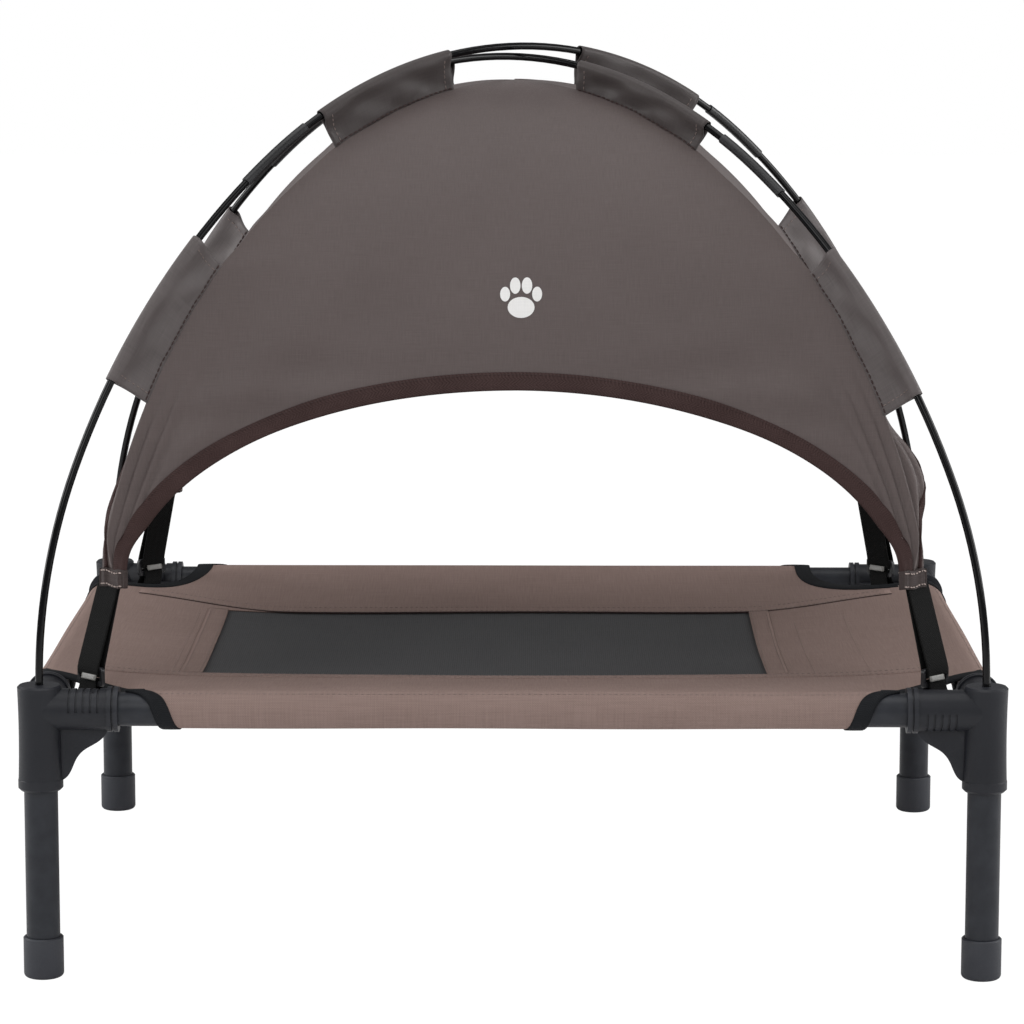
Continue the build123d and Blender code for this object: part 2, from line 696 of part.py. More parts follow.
# The pole from front left to back right passes over the other one.
POLES = (
    ("pole_over", ("front_left", "back_right"), POLE_CROSSING / 2),
    ("pole_under", ("front_right", "back_left"), -POLE_CROSSING / 2),
)
for pole_name, pole_corners, offset_height in POLES:
    make_pole(pole_name, pole_corners, offset_height)
    for corner_name in pole_corners:
        for place_name in SLEEVE_SPANS:
            make_pole_sleeve(place_name, corner_name, offset_height)
make_ferrules([pole[1:] for pole in POLES])

for side_name in ARCH_HALF_WIDTH:
    make_canopy_panel(side_name)
    make_arch_binding(side_name)

for corner_name in CORNERS:
    make_hem_band(corner_name)
    make_strap(corner_name)
    make_buckle(corner_name)
make_strap_loops()
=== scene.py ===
"""Looks of the raised dog bed with a canopy: cloth, straps, trims, stitching and finishes.

Shapes are worked out in millimetres, +Z up, +X along the long side and -Y to the front, and go
into the meshes in metres. Every new piece is a surface of two parameters on a grid.
"""

import logging
import math
from dataclasses import dataclass, field
from enum import Enum
from functools import cache

import bmesh
import bpy
import numpy as np
from mathutils import Matrix, Vector

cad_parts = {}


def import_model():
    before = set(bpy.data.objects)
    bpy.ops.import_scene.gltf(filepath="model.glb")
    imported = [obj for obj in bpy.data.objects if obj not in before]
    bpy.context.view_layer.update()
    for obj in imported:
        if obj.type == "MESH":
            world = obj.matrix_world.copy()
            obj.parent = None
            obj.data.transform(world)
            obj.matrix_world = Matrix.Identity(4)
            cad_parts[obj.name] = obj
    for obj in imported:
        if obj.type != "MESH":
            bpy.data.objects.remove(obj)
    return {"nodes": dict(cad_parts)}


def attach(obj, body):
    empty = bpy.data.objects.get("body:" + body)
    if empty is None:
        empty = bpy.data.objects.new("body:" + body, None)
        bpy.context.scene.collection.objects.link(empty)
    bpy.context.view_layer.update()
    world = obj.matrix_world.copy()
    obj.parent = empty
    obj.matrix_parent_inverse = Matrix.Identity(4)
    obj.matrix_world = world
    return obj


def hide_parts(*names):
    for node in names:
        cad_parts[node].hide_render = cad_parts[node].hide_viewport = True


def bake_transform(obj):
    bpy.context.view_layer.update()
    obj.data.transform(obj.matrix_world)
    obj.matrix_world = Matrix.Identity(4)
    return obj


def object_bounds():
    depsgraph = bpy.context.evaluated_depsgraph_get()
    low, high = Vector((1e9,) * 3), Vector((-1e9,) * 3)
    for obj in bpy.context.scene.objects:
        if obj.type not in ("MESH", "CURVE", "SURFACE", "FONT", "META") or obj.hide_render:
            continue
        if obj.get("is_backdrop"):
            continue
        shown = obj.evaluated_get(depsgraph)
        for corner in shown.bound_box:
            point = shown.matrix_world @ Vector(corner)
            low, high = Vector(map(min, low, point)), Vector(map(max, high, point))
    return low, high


LOG = logging.getLogger("dog_bed")
MM = 0.001
Array = np.ndarray
Colour = tuple[float, float, float]


# ---------------------------------------------------------------- places and names
class Corner(Enum):
    """The four corners, as the signs of x and y."""

    FRONT_LEFT = (-1, -1)
    FRONT_RIGHT = (1, -1)
    BACK_RIGHT = (1, 1)
    BACK_LEFT = (-1, 1)

    @property
    def label(self) -> str:
        """Name as the CAD nodes have it."""
        return self.name.lower()


class Side(Enum):
    """The four sides: direction across the side, and direction it faces."""

    FRONT = ((1, 0, 0), (0, -1, 0))
    RIGHT = ((0, 1, 0), (1, 0, 0))
    BACK = ((-1, 0, 0), (0, 1, 0))
    LEFT = ((0, -1, 0), (-1, 0, 0))

    @property
    def label(self) -> str:
        """Name as the CAD nodes have it."""
        return self.name.lower()

    @property
    def across(self) -> Array:
        """Unit direction along the side."""
        return np.array(self.value[0], float)

    @property
    def facing(self) -> Array:
        """Unit direction the side faces."""
        return np.array(self.value[1], float)

    @property
    def long(self) -> bool:
        """True for the front and the back."""
        return self in (Side.FRONT, Side.BACK)

    @property
    def halves(self) -> tuple[float, float]:
        """Distance from the bed's middle to a post, along the side and outwards."""
        return (HALF[0], HALF[1]) if self.long else (HALF[1], HALF[0])


HALF = np.array([363.0, 288.0])  # post centres, from the middle of the bed
DIAGONAL = float(np.hypot(*HALF))
SPREAD = HALF / DIAGONAL
POST_TOP = 230.0
RAIL_HEIGHT = 211.0
POLE_TURN = 407.0  # radius of a pole's top arc
PAW_HEIGHT = 520.0
PAW_ASIDE = 6.0
UP = np.array([0.0, 0.0, 1.0])


# ---------------------------------------------------------------- surface helpers
def smooth(value: Array, start: float, end: float) -> Array:
    """Smooth step from 0 at start to 1 at end.

    Args:
        value: Where it is read.
        start: Value with 0.
        end: Value with 1.

    Returns:
        3t^2 - 2t^3 of the clamped share t.
    """
    t = np.clip((np.asarray(value, float) - start) / (end - start), 0, 1)
    return t * t * (3 - 2 * t)


def unit(vectors: Array) -> Array:
    """Vectors divided by their lengths."""
    return vectors / np.maximum(np.linalg.norm(vectors, axis=-1, keepdims=True), 1e-12)


def walked(points: Array) -> Array:
    """Distance along a line of points, 0 at the first."""
    steps = np.linalg.norm(np.diff(points, axis=0), axis=1)
    return np.concatenate([[0], np.cumsum(steps)])


def girth_of(outline: Array) -> Array:
    """Distance round a closed outline, at the end of each of its steps."""
    return np.cumsum(np.linalg.norm(np.diff(outline, axis=0, append=outline[:1]), axis=1))


def cloth_places(first: Array, second: Array) -> Array:
    """Grid of places on the cloth in metres, from two lists of millimetres."""
    return np.stack(np.meshgrid(first * MM, second * MM, indexing="ij"), -1)


def capped(body: Array) -> Array:
    """Rings of points with both ends closed to the middle of the end ring."""
    caps = [np.broadcast_to(row.mean(0), row.shape)[None] for row in (body[0], body[-1])]
    return np.concatenate([caps[0], body, caps[1]])


def grid_area(points: Array) -> float:
    """Area of a grid of points in millimetres, in square metres."""
    a, b, d = points[:-1, :-1], points[1:, :-1], points[:-1, 1:]
    return float(np.linalg.norm(np.cross(b - a, d - a), axis=-1).sum()) * MM**2


def by_corner(front: object, back_left: object, back_right: object) -> object:
    """Dataclass field with one value for both front corners and one for each back corner."""
    return field(
        default_factory=lambda: {
            Corner.FRONT_LEFT: front,
            Corner.FRONT_RIGHT: front,
            Corner.BACK_LEFT: back_left,
            Corner.BACK_RIGHT: back_right,
        }
    )


def grid_faces(rows: int, columns: int, ring: bool = False) -> Array:
    """Four-sided faces of a grid, facing the way of (row step) x (column step).

    Args:
        rows: Points along the first parameter.
        columns: Points along the second.
        ring: True where the columns close into a ring.

    Returns:
        Vertex numbers, one row for each face.
    """
    r, c = np.meshgrid(
        np.arange(rows - 1), np.arange(columns if ring else columns - 1), indexing="ij"
    )
    d = (c + 1) % columns
    corners = (r * columns + c, (r + 1) * columns + c, (r + 1) * columns + d, r * columns + d)
    return np.stack(corners, -1).reshape(-1, 4)


def mesh_object(
    name: str,
    points: Array,
    faces: Array,
    uv: Array | None = None,
    closed: bool = False,
) -> bpy.types.Object:
    """Puts points and faces into a mesh, merges its doubles, and links it.

    Args:
        name: The piece's name.
        points: Places in millimetres, any shape that ends in 3.
        faces: Vertex numbers.
        uv: Place on the cloth in metres for each point.
        closed: True for a closed shell, whose faces are then turned outwards.

    Returns:
        The object, at the origin.
    """
    points = points.reshape(-1, 3)
    faces = faces.reshape(-1, 4)
    if closed:
        a, b, c, d = (points[faces[:, k]] for k in range(4))
        volume = np.sum(np.cross(b - a, c - a) * a) + np.sum(np.cross(c - a, d - a) * a)
        if volume < 0:
            faces = faces[:, ::-1]
    mesh = bpy.data.meshes.new(name)
    mesh.from_pydata((points * MM).tolist(), [], faces.tolist())
    if uv is not None:
        layer = mesh.uv_layers.new(name="cloth")
        layer.data.foreach_set("uv", uv.reshape(-1, 2)[faces.ravel()].astype(np.float32).ravel())
    work = bmesh.new()
    work.from_mesh(mesh)
    bmesh.ops.remove_doubles(work, verts=work.verts, dist=2e-6)
    work.to_mesh(mesh)
    work.free()
    mesh.polygons.foreach_set("use_smooth", np.ones(len(mesh.polygons), bool))
    mesh.update()
    piece = bpy.data.objects.new(name, mesh)
    bpy.context.scene.collection.objects.link(piece)
    return piece


def joined_grids(grids: list[tuple[Array, Array, Array]]) -> tuple[Array, Array, Array]:
    """Stacks several grids of points, faces and cloth places into one of each.

    Args:
        grids: (points, faces, uv) of each grid.

    Returns:
        Points, faces and uv of all of them.
    """
    counts = np.cumsum([0] + [g[0].reshape(-1, 3).shape[0] for g in grids])
    points = np.concatenate([g[0].reshape(-1, 3) for g in grids])
    faces = np.concatenate([g[1] + n for g, n in zip(grids, counts)])
    uv = np.concatenate([g[2].reshape(-1, 2) for g in grids])
    return points, faces, uv


def swept(
    path: Array, side: Array, lift: Array, section: Array, closed_path: bool = False
) -> tuple[Array, Array, Array]:
    """A closed section carried along a path: point = path + s * side + h * lift.

    Args:
        path: Points of the path, (n, 3).
        side: Direction of the section's first axis at each, (n, 3).
        lift: Direction of its second axis at each, (n, 3).
        section: Closed outline, (m, 2), without its first point repeated.
        closed_path: True where the path is a loop, so that it has no end caps.

    Returns:
        Points, faces and uv, with both ends closed to a point.
    """
    body = (
        path[:, None]
        + section[None, :, :1] * side[:, None]
        + section[None, :, 1:] * lift[:, None]
    )
    length = walked(path)
    girth = walked(section)
    if closed_path:
        body = np.concatenate([body, body[:1]])
        length = np.append(length, length[-1] + np.linalg.norm(path[0] - path[-1]))
    else:
        body = capped(body)
        length = np.concatenate([[length[0]], length, [length[-1]]])
    return body, grid_faces(len(body), len(section), ring=True), cloth_places(length, girth)


def flat_section(width: float, thickness: float, count: int = 9) -> Array:
    """Outline of a flat strap: two straight faces and two rounded edges.

    Args:
        width: Size along the first axis.
        thickness: Size along the second.
        count: Points across each face.

    Returns:
        Closed outline, anticlockwise.
    """
    r = thickness / 2
    across = np.linspace(-width / 2 + r, width / 2 - r, count)
    turn = np.radians([-60, -30, 0, 30, 60])
    right = np.stack([width / 2 - r + r * np.cos(turn), r * np.sin(turn)], -1)
    below = np.stack([across, np.full(count, -r)], -1)
    return np.concatenate([below, right, -below, -right])


def rounded_loop(corners: Array, turns: int) -> Array:
    """A closed polygon with its corners cut so many times, each cut at a quarter of a side."""
    points = corners
    for _ in range(turns):
        after = np.roll(points, -1, axis=0)
        points = np.stack([0.75 * points + 0.25 * after, 0.25 * points + 0.75 * after], 1)
        points = points.reshape(-1, corners.shape[1])
    return points


@dataclass
class Thread:
    """Sewing thread: each stitch is a small grain lying on the cloth."""

    length: float = 2.9
    gap: float = 1.3
    radius: float = 0.42

    def row(self, line: Array, normal: Array) -> tuple[Array, Array, Array]:
        """Stitches along a line.

        Each stitch is a spindle: a ring of radius r * sqrt(1 - t^2) at share t of its half length.

        Args:
            line: Points on the cloth, (n, 3).
            normal: Direction out of the cloth at each, (n, 3).

        Returns:
            Points, faces and uv.
        """
        along_line = walked(line)
        count = max(int(along_line[-1] / (self.length + self.gap)), 1)
        middle = (np.arange(count) + 0.5) * along_line[-1] / count

        def at(distance: Array, values: Array) -> Array:
            """Values read at a distance along the line."""
            return np.stack([np.interp(distance, along_line, values[:, k]) for k in range(3)], -1)

        head, tail = at(middle + self.length / 2, line), at(middle - self.length / 2, line)
        out = unit(at(middle, normal))
        along = unit(head - tail)
        aside = unit(np.cross(along, out))
        t = np.array([-1, -0.8, 0, 0.8, 1])
        ring = self.radius * np.sqrt(np.maximum(1 - t**2, 0))
        angle = np.linspace(0, 2 * np.pi, 6, endpoint=False)
        centre = (head + tail)[:, None, None] / 2 + along[:, None, None] * (
            t[None, :, None, None] * self.length / 2
        )
        around = (
            np.cos(angle)[None, None, :, None] * aside[:, None, None]
            + (0.45 + np.sin(angle))[None, None, :, None] * out[:, None, None]
        )
        points = centre + around * ring[None, :, None, None]
        one = grid_faces(5, 6, ring=True)
        faces = (one[None] + (np.arange(count) * 30)[:, None, None]).reshape(-1, 4)[:, ::-1]
        return points, faces, np.zeros(points.shape[:-1] + (2,))


# ---------------------------------------------------------------- finishes
class Tree:
    """Short calls for adding and linking nodes."""

    def __init__(self, tree: bpy.types.NodeTree) -> None:
        """Starts on an empty node tree."""
        self.tree = tree
        tree.nodes.clear()

    def add(self, kind: str, settings: dict | None = None, **values: object) -> bpy.types.Node:
        """Adds a node, sets its options, and sets or links its inputs.

        Args:
            kind: Node type without its ShaderNode start.
            settings: Options such as operation.
            values: Input by name, with _ for a space, as a value or as a socket to link.

        Returns:
            The node.
        """
        node = self.tree.nodes.new(kind if kind.startswith("Node") else "ShaderNode" + kind)
        for key, value in (settings or {}).items():
            setattr(node, key, value)
        for key, value in values.items():
            if key[0] == "i" and key[1:].isdigit():
                socket = node.inputs[int(key[1:])]
            else:
                socket = node.inputs[key.replace("_", " ")]
            self.feed(socket, value)
        return node

    def feed(self, socket: bpy.types.NodeSocket, value: object) -> None:
        """Links a socket to an input, or sets the input's value."""
        if isinstance(value, bpy.types.NodeSocket):
            self.tree.links.new(value, socket)
        elif isinstance(value, tuple) and len(value) == 3 and socket.type == "RGBA":
            socket.default_value = (*value, 1.0)
        else:
            socket.default_value = value

    def math(self, operation: str, *values: object) -> bpy.types.NodeSocket:
        """Result of a Math node on one to three values."""
        inputs = {f"i{k}": v for k, v in enumerate(values)}
        return self.add("Math", {"operation": operation}, **inputs).outputs[0]

    def mix(self, factor: object, low: object, high: object) -> bpy.types.NodeSocket:
        """Colour between two colours."""
        node = self.add("Mix", {"data_type": "RGBA"}, i0=factor)
        self.feed(node.inputs[6], low)
        self.feed(node.inputs[7], high)
        return node.outputs[2]

    def clamped(self, value: object) -> bpy.types.NodeSocket:
        """The value, held between 0 and 1."""
        return self.add("Clamp", Value=value).outputs[0]

    def mapped(
        self, value: object, low: float, high: float, to_low: float = 0.0, to_high: float = 1.0
    ) -> bpy.types.NodeSocket:
        """The value with the span low to high stretched onto to_low to to_high."""
        node = self.add("MapRange", Value=value, i1=low, i2=high, i3=to_low, i4=to_high)
        return node.outputs[0]

    def finish(
        self,
        base: bpy.types.NodeSocket,
        roughness: object,
        bump: bpy.types.Node,
        specular: float = 0.5,
        sheen: float = 0.0,
    ) -> None:
        """Ends a material with a principled shader.

        Args:
            base: Colour.
            roughness: A value or a socket.
            bump: The bump node.
            specular: Specular level.
            sheen: Weight of the sheen.
        """
        normal = bump.outputs[0]
        shader = self.add("BsdfPrincipled", Base_Color=base, Roughness=roughness, Normal=normal)
        shader.inputs["Specular IOR Level"].default_value = specular
        shader.inputs["Sheen Weight"].default_value = sheen
        shader.inputs["Sheen Roughness"].default_value = 0.4
        self.add("OutputMaterial", Surface=shader.outputs[0])

    def group(self, tree: bpy.types.NodeTree, **values: object) -> bpy.types.Node:
        """Places a shared node group."""
        node = self.tree.nodes.new("ShaderNodeGroup")
        node.node_tree = tree
        for key, value in values.items():
            self.feed(node.inputs[key.replace("_", " ")], value)
        return node


def new_material(name: str) -> tuple[bpy.types.Material, Tree, dict[str, bpy.types.NodeSocket]]:
    """Starts a material.

    Args:
        name: The material's name.

    Returns:
        The material, its tree, and the coordinates by name.
    """
    made = bpy.data.materials.new(name)
    made.use_nodes = True
    tree = Tree(made.node_tree)
    return made, tree, tree.add("TexCoord").outputs


def new_group(
    name: str, inputs: dict[str, tuple[str, object]], outputs: tuple[str, ...]
) -> tuple[Tree, bpy.types.Node, bpy.types.Node]:
    """Starts a shared node group whose outputs are numbers.

    Args:
        name: The group's name.
        inputs: Socket type and value by name.
        outputs: Names of its outputs.

    Returns:
        The tree, its input node, and its output node.
    """
    group = bpy.data.node_groups.new(name, "ShaderNodeTree")
    for label, (kind, value) in inputs.items():
        socket = group.interface.new_socket(label, in_out="INPUT", socket_type="NodeSocket" + kind)
        if value is not None:
            socket.default_value = value
    for label in outputs:
        group.interface.new_socket(label, in_out="OUTPUT", socket_type="NodeSocketFloat")
    tree = Tree(group)
    return tree, tree.add("NodeGroupInput"), tree.add("NodeGroupOutput")


@cache
def weave_group() -> bpy.types.NodeTree:
    """Plain weave: height is sin(pi x) * sin(pi y) in threads, plus thick and thin threads."""
    tree, start, end = new_group(
        "PlainWeave",
        {"Vector": ("Vector", None), "Pitch": ("Float", 0.001), "Slub": ("Float", 0.3)},
        ("Height", "Slubs"),
    )
    count = tree.math("DIVIDE", 1.0, start.outputs["Pitch"])
    scaled = tree.add("VectorMath", {"operation": "SCALE"}, Vector=start.outputs["Vector"], Scale=count)
    split = tree.add("SeparateXYZ", Vector=scaled.outputs[0])
    waves = [tree.math("SINE", tree.math("MULTIPLY", split.outputs[k], math.pi)) for k in (0, 1)]
    cross = tree.math("MULTIPLY", waves[0], waves[1])
    slubs = []
    for stretch in ((1.0, 0.03, 1.0), (0.03, 1.0, 1.0)):
        place = tree.add(
            "VectorMath", {"operation": "MULTIPLY"}, i0=scaled.outputs[0], i1=stretch
        )
        noise = tree.add("TexNoise", Vector=place.outputs[0], Scale=0.9, Detail=2.0)
        slubs.append(noise.outputs["Fac"])
    slub = tree.math("SUBTRACT", tree.math("ADD", *slubs), 1.0)
    rough = tree.math("MULTIPLY", slub, start.outputs["Slub"])
    level = tree.math("ADD", rough, 0.5)
    tree.feed(end.inputs["Height"], tree.math("MULTIPLY_ADD", cross, 0.35, level))
    tree.feed(end.inputs["Slubs"], tree.math("ADD", slub, 0.5))
    return tree.tree


@cache
def patch_group() -> bpy.types.NodeTree:
    """Slow patches and fine specks of an uneven surface, both about 0.5 in the middle."""
    tree, start, end = new_group(
        "UnevenPatches",
        {"Vector": ("Vector", None), "Size": ("Float", 0.06)},
        ("Patches", "Specks"),
    )
    scale = tree.math("DIVIDE", 1.0, start.outputs["Size"])
    slow = tree.add("TexNoise", Vector=start.outputs["Vector"], Scale=scale, Detail=3.0)
    fine_scale = tree.math("MULTIPLY", scale, 38.0)
    fine = tree.add("TexNoise", Vector=start.outputs["Vector"], Scale=fine_scale, Detail=2.0)
    tree.feed(end.inputs["Patches"], slow.outputs["Fac"])
    tree.feed(end.inputs["Specks"], fine.outputs["Fac"])
    return tree.tree


@cache
def wear_group() -> bpy.types.NodeTree:
    """Rubbed edges: high where the surface bends sharply outwards and a noise breaks it up."""
    tree, start, end = new_group(
        "RubbedEdges", {"Vector": ("Vector", None), "Amount": ("Float", 0.5)}, ("Rub",)
    )
    shape = tree.add("NewGeometry")
    edge = tree.mapped(shape.outputs["Pointiness"], 0.52, 0.62)
    noise = tree.add("TexNoise", Vector=start.outputs["Vector"], Scale=90.0, Detail=3.0)
    broken = tree.math("MULTIPLY", edge, noise.outputs["Fac"])
    tree.feed(end.inputs["Rub"], tree.math("MULTIPLY", broken, start.outputs["Amount"]))
    return tree.tree


@dataclass(frozen=True)
class ClothFinish:
    """Woven cloth: thread pitch in metres, two shades, and how shiny and how coarse it is."""

    name: str
    dark: Colour
    light: Colour
    pitch: float
    bump: float
    roughness: float
    sheen: float = 0.0
    slub: float = 0.35
    patches: float = 0.5
    size: float = 0.09
    specular: float = 0.35

    @cache
    def material(self) -> bpy.types.Material:
        """Builds the material, once."""
        made, tree, place = new_material(self.name)
        weave = tree.group(
            weave_group(), Vector=place["UV"], Pitch=self.pitch, Slub=self.slub
        )
        patch = tree.group(patch_group(), Vector=place["Object"], Size=self.size)
        uneven = tree.math("SUBTRACT", patch.outputs["Patches"], 0.5)
        shade = tree.math("MULTIPLY", uneven, self.patches)
        thread = tree.math("SUBTRACT", weave.outputs["Height"], 0.5)
        fleck = tree.math("SUBTRACT", weave.outputs["Slubs"], 0.5)
        shade = tree.math("MULTIPLY_ADD", thread, 0.5, shade)
        shade = tree.math("MULTIPLY_ADD", fleck, 0.45, shade)
        base = tree.mix(tree.clamped(tree.math("ADD", shade, 0.5)), self.dark, self.light)
        dull = self.roughness
        gloss = tree.mapped(patch.outputs["Specks"], 0.3, 0.7, dull - 0.05, dull + 0.05)
        bump = tree.add(
            "Bump", Height=weave.outputs["Height"], Strength=self.bump, Distance=self.pitch * 0.35
        )
        tree.finish(base, gloss, bump, self.specular, self.sheen)
        return made


@dataclass(frozen=True)
class MeshFinish:
    """Knitted mesh: rows of small holes between loops of yarn, the holes painted dark as the shade seen
    through them.
    """

    name: str
    yarn: Colour
    hole_shade: Colour
    pitch: float = 0.0017

    @cache
    def material(self) -> bpy.types.Material:
        """Builds the material, once. Holes are the low places of two crossed sine waves."""
        made, tree, place = new_material(self.name)
        weave = tree.group(weave_group(), Vector=place["UV"], Pitch=self.pitch, Slub=0.25)
        fine = tree.group(
            weave_group(), Vector=place["UV"], Pitch=self.pitch * 0.5, Slub=0.6
        )
        patch = tree.group(patch_group(), Vector=place["Object"], Size=0.12)
        closed = tree.mapped(weave.outputs["Height"], 0.2, 0.42)
        lit = tree.math("MULTIPLY_ADD", patch.outputs["Patches"], 0.5, closed)
        lit = tree.math("MULTIPLY_ADD", fine.outputs["Slubs"], 0.4, tree.math("SUBTRACT", lit, 0.45))
        # Painted shade: the holes take the dark hole colour.
        base = tree.mix(tree.clamped(lit), self.hole_shade, self.yarn)
        height = tree.math("MULTIPLY_ADD", fine.outputs["Height"], 0.3, weave.outputs["Height"])
        bump = tree.add("Bump", Height=height, Strength=0.7, Distance=0.0005)
        tree.finish(base, 0.72, bump)
        return made


@dataclass(frozen=True)
class TapeFinish:
    """Woven tape and webbing: ribs across its length, seen as fine steps along the piece."""

    name: str
    dark: Colour
    light: Colour
    rib: float = 0.0016
    roughness: float = 0.7
    bump: float = 0.6

    @cache
    def material(self) -> bpy.types.Material:
        """Builds the material, once. Ribs slant one way then the other, as in a herringbone."""
        made, tree, place = new_material(self.name)
        split = tree.add("SeparateXYZ", Vector=place["UV"])
        fold = tree.math("PINGPONG", split.outputs[1], 0.0032)
        slant = tree.math("ADD", split.outputs[0], fold)
        wave = tree.math("SINE", tree.math("MULTIPLY", slant, 2 * math.pi / self.rib))
        ribs = tree.math("MULTIPLY_ADD", wave, 0.5, 0.5)
        weave = tree.group(
            weave_group(), Vector=place["UV"], Pitch=self.rib * 0.4, Slub=0.5
        )
        patch = tree.group(patch_group(), Vector=place["Object"], Size=0.03)
        uneven = tree.math("MULTIPLY", patch.outputs["Patches"], 0.6)
        shade = tree.math("SUBTRACT", tree.math("MULTIPLY_ADD", ribs, 0.35, uneven), 0.1)
        shade = tree.math("MULTIPLY_ADD", weave.outputs["Height"], 0.25, shade)
        base = tree.mix(tree.clamped(shade), self.dark, self.light)
        height = tree.math("MULTIPLY_ADD", weave.outputs["Height"], 0.4, ribs)
        bump = tree.add("Bump", Height=height, Strength=self.bump, Distance=0.0003)
        tree.finish(base, self.roughness, bump, 0.12)
        return made


@dataclass(frozen=True)
class HardFinish:
    """Painted metal, moulded plastic or rod: a fine grain, uneven gloss and rubbed edges."""

    name: str
    base: Colour
    rubbed: Colour
    roughness: float
    grain: float = 0.0012
    bump: float = 0.15
    specular: float = 0.5
    streak: float = 1.0

    @cache
    def material(self) -> bpy.types.Material:
        """Builds the material, once."""
        made, tree, place = new_material(self.name)
        patch = tree.group(patch_group(), Vector=place["Object"], Size=0.05)
        wear = tree.group(wear_group(), Vector=place["Object"], Amount=0.8)
        scratch_place = tree.add(
            "VectorMath", {"operation": "MULTIPLY"},
            i0=place["Object"], i1=(1.0, 1.0, self.streak),
        )
        grain = tree.add(
            "TexNoise", Vector=scratch_place.outputs[0], Scale=1 / self.grain, Detail=2.0
        )
        tone = tree.mapped(patch.outputs["Patches"], 0.3, 0.7, 0.0, 0.16)
        worn = tree.clamped(tree.math("ADD", tone, wear.outputs["Rub"]))
        base = tree.mix(worn, self.base, self.rubbed)
        dull = self.roughness
        gloss = tree.mapped(patch.outputs["Specks"], 0.3, 0.7, dull - 0.05, dull + 0.07)
        bump = tree.add("Bump", Height=grain.outputs["Fac"], Strength=self.bump, Distance=0.0003)
        tree.finish(base, gloss, bump, self.specular)
        return made


STEEL = HardFinish(
    "powder_coated_tube", (0.010, 0.011, 0.015), (0.035, 0.038, 0.046),
    roughness=0.40, grain=0.0009, bump=0.2, specular=0.28,
)
CASTING = HardFinish(
    "moulded_connector", (0.012, 0.0128, 0.0168), (0.040, 0.042, 0.050),
    roughness=0.44, grain=0.0011, bump=0.25, specular=0.28,
)
RUBBER = HardFinish(
    "foot_cap_plastic", (0.020, 0.022, 0.030), (0.055, 0.060, 0.070), roughness=0.5, bump=0.25
)
ROD = HardFinish(
    "glass_fibre_rod", (0.0015, 0.0015, 0.002), (0.008, 0.008, 0.009),
    roughness=0.12, grain=0.0016, bump=0.05, specular=0.25, streak=0.1,
)
FERRULE = HardFinish(
    "rod_ferrule", (0.008, 0.008, 0.009), (0.04, 0.04, 0.043),
    roughness=0.34, grain=0.0008, bump=0.1, specular=0.4,
)
BUCKLE = HardFinish("buckle_plastic", (0.010, 0.010, 0.012), (0.06, 0.06, 0.065), roughness=0.38)
# Pale grey slider bars: painted highlight of the buckle bar's lit top face.
BUCKLE_BAR_HIGHLIGHT = HardFinish("slider_plastic", (0.20, 0.195, 0.185), (0.36, 0.35, 0.33), roughness=0.4)
CANOPY = ClothFinish(
    "coated_tent_cloth", (0.073, 0.0555, 0.0530), (0.120, 0.0930, 0.0895),
    pitch=0.0006, bump=0.25, roughness=0.56, sheen=0.08, slub=0.5, patches=0.4,
)
# Upper and lower sleeves are one cloth; the upper copy is made darker as painted shade.
SHADED_UPPER_SLEEVE = ClothFinish(
    "sleeve_cloth", (0.034, 0.028, 0.027), (0.070, 0.057, 0.056),
    pitch=0.0006, bump=0.3, roughness=0.5, sheen=0.1, slub=0.5, size=0.03,
)
LOW_SLEEVE = ClothFinish(
    "lower_sleeve_cloth", (0.070, 0.060, 0.059), (0.132, 0.113, 0.112),
    pitch=0.0006, bump=0.3, roughness=0.5, sheen=0.1, slub=0.5, size=0.03,
)
# Corner bands: the canopy's cloth made much darker and patchier, as painted shade of the crumpled
# gathers.
SHADED_BAND = ClothFinish(
    "corner_band_cloth", (0.024, 0.016, 0.015), (0.062, 0.044, 0.042),
    pitch=0.0008, bump=0.5, roughness=0.7, sheen=0.05, slub=0.5, patches=0.8, size=0.02,
)
COVER = ClothFinish(
    "bed_cover_cloth", (0.202, 0.141, 0.123), (0.318, 0.232, 0.207),
    pitch=0.0009, bump=0.6, roughness=0.85, slub=0.5, patches=0.35, specular=0.12,
)
PRINT = ClothFinish(
    "white_print", (0.72, 0.71, 0.70), (0.90, 0.89, 0.88), pitch=0.0006, bump=0.2, roughness=0.5
)
# The dark second colour of the mesh is painted shade in its holes.
KNIT = MeshFinish("knitted_mesh", (0.060, 0.060, 0.063), (0.014, 0.014, 0.015))
BINDING = TapeFinish("arch_binding_tape", (0.027, 0.014, 0.013), (0.070, 0.042, 0.040), rib=0.0021)
TRIM = TapeFinish("black_trim_tape", (0.006, 0.007, 0.008), (0.017, 0.018, 0.021), rib=0.0018)
WEBBING = TapeFinish(
    "black_webbing", (0.003, 0.003, 0.003), (0.009, 0.009, 0.009), rib=0.0024, roughness=0.8, bump=0.8
)
THREAD, DARK_THREAD, PALE_THREAD_AND_CREASE_HIGHLIGHT, UMBER_THREAD_AND_SHADE_CORD = (
    TapeFinish(name, dark, light, rib=0.0006, roughness=0.6)
    for name, dark, light in (
        ("beige_thread", (0.34, 0.27, 0.25), (0.60, 0.50, 0.46)),
        ("brown_thread", (0.16, 0.12, 0.11), (0.30, 0.24, 0.22)),
        # The pale thread draws second seams and painted highlights along crease ridges on the cover.
        ("pale_thread", (0.26, 0.20, 0.18), (0.42, 0.33, 0.30)),
        # Umber serves for the real doorway stitches and for dark cords of painted shade along the
        # sleeve seams and the back hem.
        ("umber_thread", (0.035, 0.022, 0.021), (0.075, 0.052, 0.050)),
    )
)


